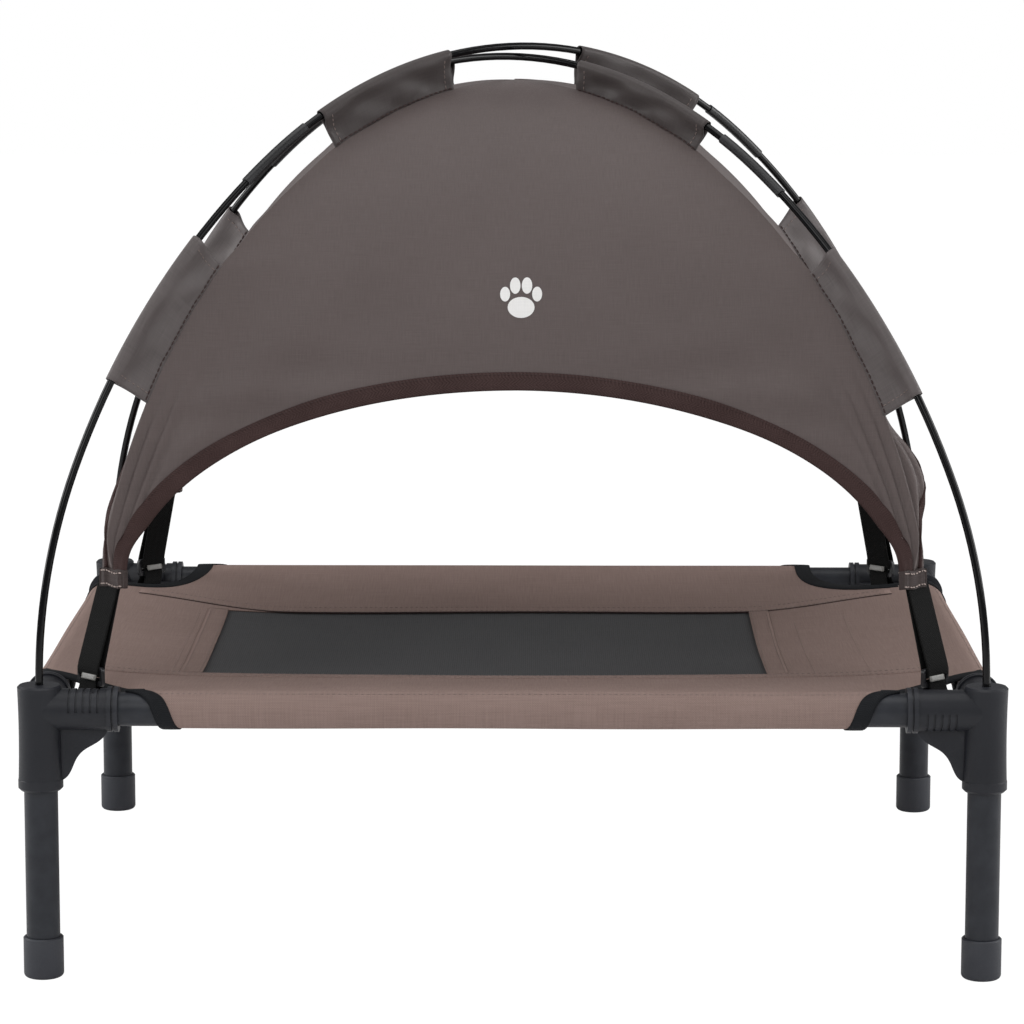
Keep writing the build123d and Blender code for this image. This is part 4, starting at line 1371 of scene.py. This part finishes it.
@dataclass
class Bed:
    """The cloth cover with its rail pockets, hems, mesh panel, corner trims and stitches."""

    shape: BedShape = field(default_factory=BedShape)
    cloth: float = 1.0
    straight: int = 66
    bend: int = 12
    ring: int = 40
    around: int = 34
    last_turn: float = math.radians(292)
    area: float = 0.0

    def outer_line(self, side: Side) -> tuple[Array, Array]:
        """Outer edge of the cover's top along one side: half a cut-out, the rail, half a cut-out."""
        shape = self.shape
        half_across, half_out = side.halves
        start, end = shape.corner_ends(side)
        turn = np.linspace(0, np.pi / 4, self.bend + 1)
        order = slice(None) if side.long else slice(None, None, -1)
        first, last = 2 / shape.cut_power[start], 2 / shape.cut_power[end]
        start_cut, end_cut = shape.cut[start][order], shape.cut[end][order]
        along_a = -half_across + start_cut[0] * np.cos(turn) ** first
        out_a = half_out - start_cut[1] * np.sin(turn) ** first
        along_b = half_across - end_cut[0] * np.cos(turn) ** last
        out_b = half_out - end_cut[1] * np.sin(turn) ** last
        run = np.linspace(along_a[0], along_b[0], self.straight)
        along = np.concatenate([along_a[::-1], run[1:-1], along_b])
        out = np.concatenate([out_a[::-1], np.full(self.straight - 2, half_out), out_b])
        return along, out

    def inner_line(self, side: Side) -> tuple[Array, Array]:
        """The same number of points along one edge of the mesh window, hem included."""
        shape = self.shape
        (low_x, high_x), (low_y, high_y) = shape.window_x, shape.window_y
        ends = {
            Side.FRONT: (low_x, high_x, -low_y),
            Side.RIGHT: (low_y, high_y, high_x),
            Side.BACK: (-high_x, -low_x, high_y),
            Side.LEFT: (-high_y, -low_y, -low_x),
        }[side]
        count = self.straight + 2 * self.bend
        run = np.linspace(0, 1, count)
        return ends[0] + (ends[1] - ends[0]) * run, np.full(count, ends[2])

    def top_grid(self, side: Side) -> tuple[Array, Array, Array]:
        """One quarter of the cover's top, from the mesh window out to the rail and cut-outs."""
        along0, out0 = self.inner_line(side)
        along1, out1 = self.outer_line(side)
        v = np.linspace(0, 1, self.ring)[:, None]
        along, out = along0 + (along1 - along0) * v, out0 + (out1 - out0) * v
        x = side.across[0] * along + side.facing[0] * out
        y = side.across[1] * along + side.facing[1] * out
        points = self.shape.top_points(x, y)
        uv = np.stack([x, y], -1) * MM
        self.area += grid_area(points)
        return points, grid_faces(*x.shape), uv

    def pocket_grid(self, side: Side) -> tuple[Array, Array, Array]:
        """Cloth round one rail, from its top over the outside and back up inside."""
        shape = self.shape
        half, edge = side.halves
        start, end = shape.corner_ends(side)
        turn = np.linspace(0, self.last_turn, self.around)[:, None]
        low, high = -half + shape.slant(side, start, turn), half - shape.slant(side, end, turn)
        share = np.linspace(0, 1, self.straight)[None]
        along = low + (high - low) * share
        points = shape.pocket_points(side, along, np.broadcast_to(turn, along.shape))
        uv_out = np.broadcast_to(turn * shape.pocket + edge, along.shape)
        uv = np.stack([along, uv_out], -1) * MM
        self.area += float((high - low).mean()) * shape.pocket * self.last_turn * MM**2
        return points, grid_faces(*along.shape), uv

    def build_cover(self) -> bpy.types.Object:
        """The cover as one sheet: its top and the four pockets that the rails run through."""
        grids = []
        for side in Side:
            grids.append(self.top_grid(side))
            grids.append(self.pocket_grid(side))
        piece = mesh_object("bed_cover_cloth", *joined_grids(grids))
        thicken(piece, self.cloth)
        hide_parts("bed_cover", *(f"bed_pocket_{side.label}" for side in Side))
        return dress(piece, COVER, "frame")

    def ribbon(self, line: Array, width: float, lift: float) -> tuple[Array, Array, Array]:
        """A flat hem on the bed's top along a line of places, this wide, with rolled edges."""
        along = unit(np.gradient(line, axis=0))
        side = np.stack([-along[:, 1], along[:, 0]], -1)
        section = flat_section(width, lift * 2, 7)
        place = line[:, None] + side[:, None] * section[None, :, :1]
        body = self.shape.top_points(place[..., 0], place[..., 1]) + UP * section[None, :, 1:]
        points = capped(body)
        flat = np.concatenate([place[:1], place, place[-1:]])
        return points, grid_faces(len(points), len(section), ring=True), flat * MM

    def seams(self) -> list[Array]:
        """Middle lines of the hems on the cover: two long strips, and the mesh's two ends."""
        (low_x, high_x), (low_y, high_y) = self.shape.window_x, self.shape.window_y
        run = np.linspace(-1, 1, 80)
        pull = smooth(np.abs(run), 0.6, 1.0)
        ends = np.linspace(low_y, high_y, 40)
        return [
            np.stack([run * 343, low_y - 7.5 - 6 * pull], -1),
            np.stack([run * 330, high_y + 7.5 + 34 * pull], -1),
            np.stack([np.full(40, low_x - 7.5), ends], -1),
            np.stack([np.full(40, high_x + 7.5), ends], -1),
        ]

    def build_hems(self) -> bpy.types.Object:
        """Turned hems round the mesh window and along the long strips."""
        grids = [self.ribbon(line, 17.0, 0.8) for line in self.seams()]
        piece = mesh_object("cover_hems", *joined_grids(grids), closed=True)
        return dress(piece, COVER, "frame")

    def build_mesh_panel(self) -> None:
        """The knitted mesh in the middle, sewn under the hems."""
        (low_x, high_x), (low_y, high_y) = self.shape.window_x, self.shape.window_y
        across, along = np.linspace(low_x - 9, high_x + 9, 80), np.linspace(low_y - 9, high_y + 9, 56)
        u, v = np.meshgrid(across, along, indexing="ij")
        points = self.shape.top_points(u, v, -1.15)
        piece = mesh_object("mesh_cloth", points, grid_faces(80, 56), np.stack([u, v], -1) * MM)
        thicken(piece, 0.8)
        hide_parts("mesh_panel")
        dress(piece, KNIT, "frame")

    def trim_grid(self, corner: Corner, width: float = 13.0) -> tuple[Array, Array, Array]:
        """Tape along one corner's edge: up a pocket's end, round the cut-out, down the other.

        Args:
            corner: Which corner.
            width: How far it reaches onto the cloth.

        Returns:
            Points, faces and uv of a closed outline that grips the edge.
        """
        shape = self.shape
        sx, sy = corner.value
        w = width
        outline = np.array(
            [
                (-1.0, -0.4), (-0.8, 0.6), (0.3, 1.05), (w * 0.5, 1.15), (w - 0.5, 1.05),
                (w, 0.6), (w, -0.9), (w - 0.5, -1.45), (w * 0.5, -1.5), (0.3, -1.5), (-0.8, -1.2),
            ]
        )
        turn = np.linspace(0, math.radians(285), 46)
        parts = {}
        for side in (s for s in Side if corner in shape.corner_ends(s)):
            start, _ = shape.corner_ends(side)
            half = side.halves[0]
            sign = -1.0 if start is corner else 1.0
            reach = shape.slant(side, corner, turn)[:, None] + outline[None, :, 0]
            along = sign * (half - reach)
            angle = np.broadcast_to(turn[:, None], along.shape)
            parts[side.long] = shape.pocket_points(side, along, angle, outline[None, :, 1])
        bend = np.linspace(0, np.pi / 2, 40)[1:-1]
        cut_x, cut_y = shape.cut[corner]
        power = 2 / shape.cut_power[corner]
        grow = outline[None, :, 0]
        x = sx * (HALF[0] - (cut_x + grow) * np.cos(bend)[:, None] ** power)
        y = sy * (HALF[1] - (cut_y + grow) * np.sin(bend)[:, None] ** power)
        top = shape.top_points(x, y) + UP * outline[None, :, 1:]
        body = np.concatenate([parts[True][::-1], top, parts[False]])
        points = capped(body)
        uv = cloth_places(walked(points[:, 3]), girth_of(outline))
        return points, grid_faces(len(points), len(outline), ring=True), uv

    def build_trims(self) -> list[bpy.types.Object]:
        """Black tape round the four corners."""
        made = []
        for corner in Corner:
            piece = mesh_object(f"corner_trim_{corner.label}", *self.trim_grid(corner), closed=True)
            made.append(dress(piece, TRIM, "frame"))
        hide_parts("bed_corner_bindings")
        return made

    def build_stitches(self) -> bpy.types.Object:
        """Rows of stitches along the hems and along the top of each pocket."""
        thread = Thread(3.0, 1.4, 0.32)
        rows = []
        for line in self.seams():
            along = unit(np.gradient(line, axis=0))
            side = np.stack([-along[:, 1], along[:, 0]], -1)
            for offset in (-6.3, 6.3):
                place = (line + side * offset)[1:-1]
                points = self.shape.top_points(place[:, 0], place[:, 1], 0.8)
                rows.append(thread.row(points, np.broadcast_to(UP, points.shape)))
        for side in Side:
            half = side.halves[0]
            start, end = self.shape.corner_ends(side)
            turn = 0.42
            low = -half + float(self.shape.slant(side, start, np.array(turn))) + 14
            high = half - float(self.shape.slant(side, end, np.array(turn))) - 14
            along = np.linspace(low, high, 120)
            points = self.shape.pocket_points(side, along, np.full(120, turn))
            normal = side.facing * math.sin(turn) + UP * math.cos(turn)
            rows.append(thread.row(points, np.broadcast_to(normal, points.shape)))
        piece = mesh_object("cover_stitches", *joined_grids(rows))
        return dress(piece, DARK_THREAD, "frame")

    def build_creases(self) -> bpy.types.Object:
        """Faint pale lines beside the mesh: second seams, and painted highlights on the ridges of
        creases.
        """
        marks = (
            ((221, -154), (221, 136)), ((242, -164), (240, 96)), ((286, -150), (283, 110)),
            ((-268, -154), (-268, 134)), ((-274, -150), (-273, 120)), ((238, -168), (300, -178)),
        )
        thread = Thread(3.4, 1.6, 0.26)
        rows = []
        run = np.linspace(0, 1, 40)[:, None]
        for start, end in marks:
            line = np.array(start) + (np.array(end) - np.array(start)) * run
            points = self.shape.top_points(line[:, 0], line[:, 1], 0.05)
            rows.append(thread.row(points, np.broadcast_to(UP, points.shape)))
        # Painted highlight: pale grains on the crease ridges, drawn with the second seams.
        piece = mesh_object("cover_fold_marks", *joined_grids(rows))
        return dress(piece, PALE_THREAD_AND_CREASE_HIGHLIGHT, "frame")

    def build_back_seam(self) -> bpy.types.Object:
        """Painted shadow: a dark cord along the front edge of the back strip's hem, where its sunk seam
        is shaded.
        """
        line = self.seams()[1] - np.array([0.0, 9.0])
        path = self.shape.top_points(line[:, 0], line[:, 1], 0.35)
        ahead = unit(np.gradient(path, axis=0))
        lift = np.broadcast_to(UP, path.shape)
        seam = swept(path, unit(np.cross(ahead, lift)), lift, flat_section(1.7, 0.9, 3))
        # Painted shadow line along the hem's edge.
        piece = mesh_object("back_hem_painted_shadow", *seam, closed=True)
        return dress(piece, UMBER_THREAD_AND_SHADE_CORD, "frame")

    def build(self) -> None:
        cover = self.build_cover()
        self.build_mesh_panel()
        others = self.build_trims() + [self.build_hems(), self.build_stitches()]
        others += [self.build_creases(), self.build_back_seam()]
        LOG.info("bed cover area %.3f m2", self.area)


# ---------------------------------------------------------------- corner straps
@dataclass
class Straps:
    """Webbing from each buckle up into the canopy's corner band, and the loops below."""

    width: float = 25.0
    thickness: float = 1.5
    foot: tuple[float, float, float] = (36.5, 36.0, 238.6)
    head: tuple[float, float, float] = (49.5, 48.5, 298.2)
    buckle_distance: float = 51.0
    slot_height: float = 232.5

    def axes(self, corner: Corner) -> tuple[Array, Array, Array]:
        """Post centre, direction inwards at 45 degrees, and direction across the strap."""
        sx, sy = corner.value
        centre = np.array([sx * HALF[0], sy * HALF[1], 0.0])
        inwards = np.array([-sx, -sy, 0.0]) / math.sqrt(2)
        return centre, inwards, np.cross(UP, inwards)

    def strap_line(self) -> Array:
        """Side view of the strap as (distance in, sideways share, height).

        It comes down the outside of the buckle's top bar, turns under it through the slot, and
        goes back up inside, where it is sewn to itself.
        """
        bar, grip = self.buckle_distance, 3.1
        turn = np.linspace(-np.pi / 2, np.pi / 2, 9)[1:-1]
        low = self.slot_height - 0.3
        under = np.stack([bar + grip * np.sin(turn), low - 0.2 - 1.2 * np.cos(turn)], -1)
        foot_in = (self.foot[0] + self.foot[1]) / math.sqrt(2)
        head_in = (self.head[0] + self.head[1]) / math.sqrt(2)
        steep = (head_in - foot_in) / (self.head[2] - self.foot[2])
        layers = []
        for sign, gap, top in ((-1, 0.85, 304.0), (1, 0.9, 302.0)):
            rise = np.concatenate([[low + 1.5, 236.0], np.linspace(240, top, 16)])
            start = bar + sign * grip
            end = foot_in + steep * (300 - self.foot[2]) + sign * gap
            share = np.clip((rise - 237) / (300 - 237), 0, None)
            layers.append(np.stack([start + (end - start) * share, rise], -1))
        return np.concatenate([layers[0][::-1], under, layers[1]])

    def build_strap(self, corner: Corner) -> bpy.types.Object:
        """One strap, which stretches between the frame and the canopy."""
        centre, inwards, across = self.axes(corner)
        view = self.strap_line()
        fine = np.linspace(0, len(view) - 1, 110)
        step = np.arange(len(view))
        view = np.stack([np.interp(fine, step, view[:, k]) for k in (0, 1)], -1)
        for _ in range(3):
            view[1:-1] = (view[:-2] + 2 * view[1:-1] + view[2:]) / 4
        side_shift = (self.head[0] - self.head[1]) / math.sqrt(2)
        share = np.clip((view[:, 1] - self.foot[2]) / (self.head[2] - self.foot[2]), 0, 1)
        sx, sy = corner.value
        along_x = np.array([-sx, sy, 0.0]) / math.sqrt(2)
        path = centre + inwards * view[:, :1] + UP * view[:, 1:]
        path = path + along_x * (side_shift * share)[:, None]
        tangent = unit(np.gradient(path, axis=0))
        lift = unit(np.cross(tangent, across))
        side = np.broadcast_to(across, path.shape)
        grid = swept(path, side, lift, flat_section(self.width, self.thickness, 11))
        piece = mesh_object(f"webbing_strap_{corner.label}", *grid, closed=True)
        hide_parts(f"strap_{corner.label}")
        dress(piece, WEBBING, None)
        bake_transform(piece)
        return piece

    def build_loop(self, corner: Corner) -> bpy.types.Object:
        """Short loop that ties the buckle's lower bar to the slotted web of the connector."""
        centre, inwards, across = self.axes(corner)
        corners = np.array(
            [
                (43.0, 207.6), (47.0, 206.4), (51.4, 207.6), (51.6, 214.5), (54.0, 221.0),
                (54.2, 227.6), (51.0, 229.0), (47.9, 227.6), (47.6, 221.0), (43.0, 215.0),
            ]
        )
        view = rounded_loop(corners, 2)
        path = centre + inwards * view[:, :1] + UP * view[:, 1:]
        ahead = unit(np.roll(path, -1, axis=0) - np.roll(path, 1, axis=0))
        side = np.broadcast_to(across, path.shape)
        grid = swept(path, side, unit(np.cross(ahead, across)), flat_section(20.0, 1.2, 7), True)
        piece = mesh_object(f"webbing_loop_{corner.label}", *grid, closed=True)
        return dress(piece, WEBBING, "frame")

    def build_buckle_bar_highlight(self, corner: Corner) -> bpy.types.Object:
        """Pale rounded bars on both faces of the buckle, which keep the strap flat; their pale colour
        is a painted highlight of the bar's top face.
        """
        centre, inwards, across = self.axes(corner)
        sx, sy = corner.value
        run = np.linspace(-0.5, 0.5, 9)
        grids = []
        for face, shift in ((-1, 3.2), (1, 0.0)):
            middle = centre + inwards * (self.buckle_distance + 4.9 * face) + UP * 230.4
            middle = middle - across * (sx * sy * shift)
            path = middle + across * (run * 16.0)[:, None]
            lean = unit(UP - inwards * 0.25 * face)
            side = np.broadcast_to(lean, path.shape)
            out = np.broadcast_to(np.cross(across, lean), path.shape)
            grids.append(swept(path, side, out, flat_section(4.6, 1.6, 5)))
        # Painted highlight: pale bars where the buckle bar catches the light.
        piece = mesh_object(f"slider_bars_{corner.label}", *joined_grids(grids), closed=True)
        return dress(piece, BUCKLE_BAR_HIGHLIGHT, "frame")

    def build(self) -> None:
        """Builds the four straps, the four loops and the four pale slider bars, whose pale colour is a
        painted highlight.
        """
        for corner in Corner:
            self.build_strap(corner)
            self.build_loop(corner)
            self.build_buckle_bar_highlight(corner)
        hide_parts("strap_loops")


# ---------------------------------------------------------------- hard parts
@dataclass
class HardParts:
    """Finishes of the CAD nodes that stay: tubes, castings, caps, poles and buckles."""

    nodes: dict[str, bpy.types.Object]
    rounding: float = 0.5

    def dress_nodes(self) -> None:
        """Gives each kept node its material, and softens moulded edges."""
        finishes = (
            ("leg_", STEEL), ("rail_", STEEL), ("foot_cap_", RUBBER), ("corner_connector_", CASTING),
            ("pole_ferrules", FERRULE), ("pole_", ROD), ("buckle_", BUCKLE),
        )
        for name, node in self.nodes.items():
            found = next((finish for start, finish in finishes if name.startswith(start)), None)
            if found is None:
                continue
            node.data.materials.clear()
            node.data.materials.append(found.material())
            if name.startswith("buckle_"):
                self.soften(node)
            LOG.info("%s keeps its shape", name)

    def soften(self, node: bpy.types.Object) -> None:
        """Welds a node's loose triangles and rounds its sharp edges."""
        weld = node.modifiers.new("weld", "WELD")
        weld.merge_threshold = 1e-5
        bevel = node.modifiers.new("edges", "BEVEL")
        bevel.width = self.rounding * MM
        bevel.segments = 2
        bevel.limit_method = "ANGLE"
        bevel.angle_limit = math.radians(38)
        bevel.harden_normals = True


# ---------------------------------------------------------------- studio
@dataclass
class Studio:
    """Pale floor, soft light from all round, and the camera."""

    camera_place: tuple[float, float, float] = (0.0157, -3.3722, 0.847)
    pitch: float = math.radians(8.89)
    yaw: float = math.radians(0.3)
    roll: float = math.radians(0.039)
    lens: float = 144.14
    surround: float = 0.24
    floor_half: float = 9000.0

    def build_camera(self) -> None:
        """Camera in front of the bed, a little above it, looking slightly down."""
        data = bpy.data.cameras.new("camera")
        data.lens = self.lens
        data.sensor_width = 36.0
        data.clip_end = 50.0
        camera = bpy.data.objects.new("camera", data)
        turn = (
            Matrix.Rotation(self.yaw, 4, "Z")
            @ Matrix.Rotation(math.pi / 2 - self.pitch, 4, "X")
            @ Matrix.Rotation(self.roll, 4, "Z")
        )
        camera.matrix_world = Matrix.Translation(self.camera_place) @ turn
        bpy.context.scene.collection.objects.link(camera)
        bpy.context.scene.camera = camera

    def build_light(self) -> None:
        """White surroundings to the camera, dimmer ones to the bed, and five large soft lamps."""
        world = bpy.data.worlds.new("studio")
        bpy.context.scene.world = world
        world.use_nodes = True
        tree = Tree(world.node_tree)
        seen = tree.add("LightPath")
        strength = tree.math(
            "MULTIPLY_ADD", seen.outputs["Is Camera Ray"], 1.0 - self.surround, self.surround
        )
        sky = tree.add("Background", Color=(1.0, 1.0, 1.0), Strength=strength)
        tree.add("OutputWorld", Surface=sky.outputs[0])
        lamps = (
            ("key", (-1.1, -2.8, 2.3), 2.0, 31.0),
            ("fill", (2.0, -2.4, 1.5), 1.8, 13.5),
            ("top", (0.0, -0.2, 3.0), 2.4, 34.0),
            ("left", (-2.6, 0.2, 1.2), 1.6, 36.0),
            ("right", (2.6, 0.2, 1.2), 1.6, 36.0),
        )
        for name, place, size, power in lamps:
            data = bpy.data.lights.new(name, "AREA")
            data.shape = "SQUARE"
            data.size = size
            data.energy = power
            lamp = bpy.data.objects.new(name, data)
            lamp.location = place
            away = Vector(place) - Vector((0, 0, 0.35))
            lamp.rotation_euler = away.to_track_quat("Z", "Y").to_euler()
            bpy.context.scene.collection.objects.link(lamp)

    def build_floor(self) -> None:
        """A wide pale floor."""
        run = np.linspace(-self.floor_half, self.floor_half, 3)
        u, v = np.meshgrid(run, run, indexing="ij")
        points = np.stack([u, v, np.zeros_like(u)], -1)
        floor = mesh_object("floor", points, grid_faces(3, 3), np.stack([u, v], -1) * MM)
        made, tree, place = new_material("pale_floor")
        noise = tree.add("TexNoise", Vector=place["Object"], Scale=3.0)
        colour = tree.mix(noise.outputs["Fac"], (0.93, 0.93, 0.93), (0.96, 0.96, 0.96))
        matt = tree.add("BsdfDiffuse", Color=colour)
        white = tree.add("Emission", Color=(1.0, 1.0, 1.0), Strength=1.07)
        seen = tree.add("LightPath")
        share = tree.math("MULTIPLY", seen.outputs["Is Camera Ray"], 0.93)
        both = tree.add("MixShader", Fac=share, i1=matt.outputs[0], i2=white.outputs[0])
        tree.add("OutputMaterial", Surface=both.outputs[0])
        floor.data.materials.append(made)
        floor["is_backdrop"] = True

    def build(self) -> None:
        """Builds the studio."""
        self.build_camera()
        self.build_light()
        self.build_floor()
        bpy.context.scene.view_settings.view_transform = "Standard"


def main() -> tuple[list[float], list[float]]:
    """Builds everything in order.

    Returns:
        Lowest and highest corner of the CAD model.
    """
    logging.basicConfig(level=logging.INFO, format="%(name)s %(message)s")
    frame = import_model()
    low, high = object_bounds()
    HardParts(frame["nodes"]).dress_nodes()
    Bed().build()
    Straps().build()
    Canopy().build()
    Studio().build()
    return list(low), list(high)


if __name__ == "__main__":
    cad_box = main()
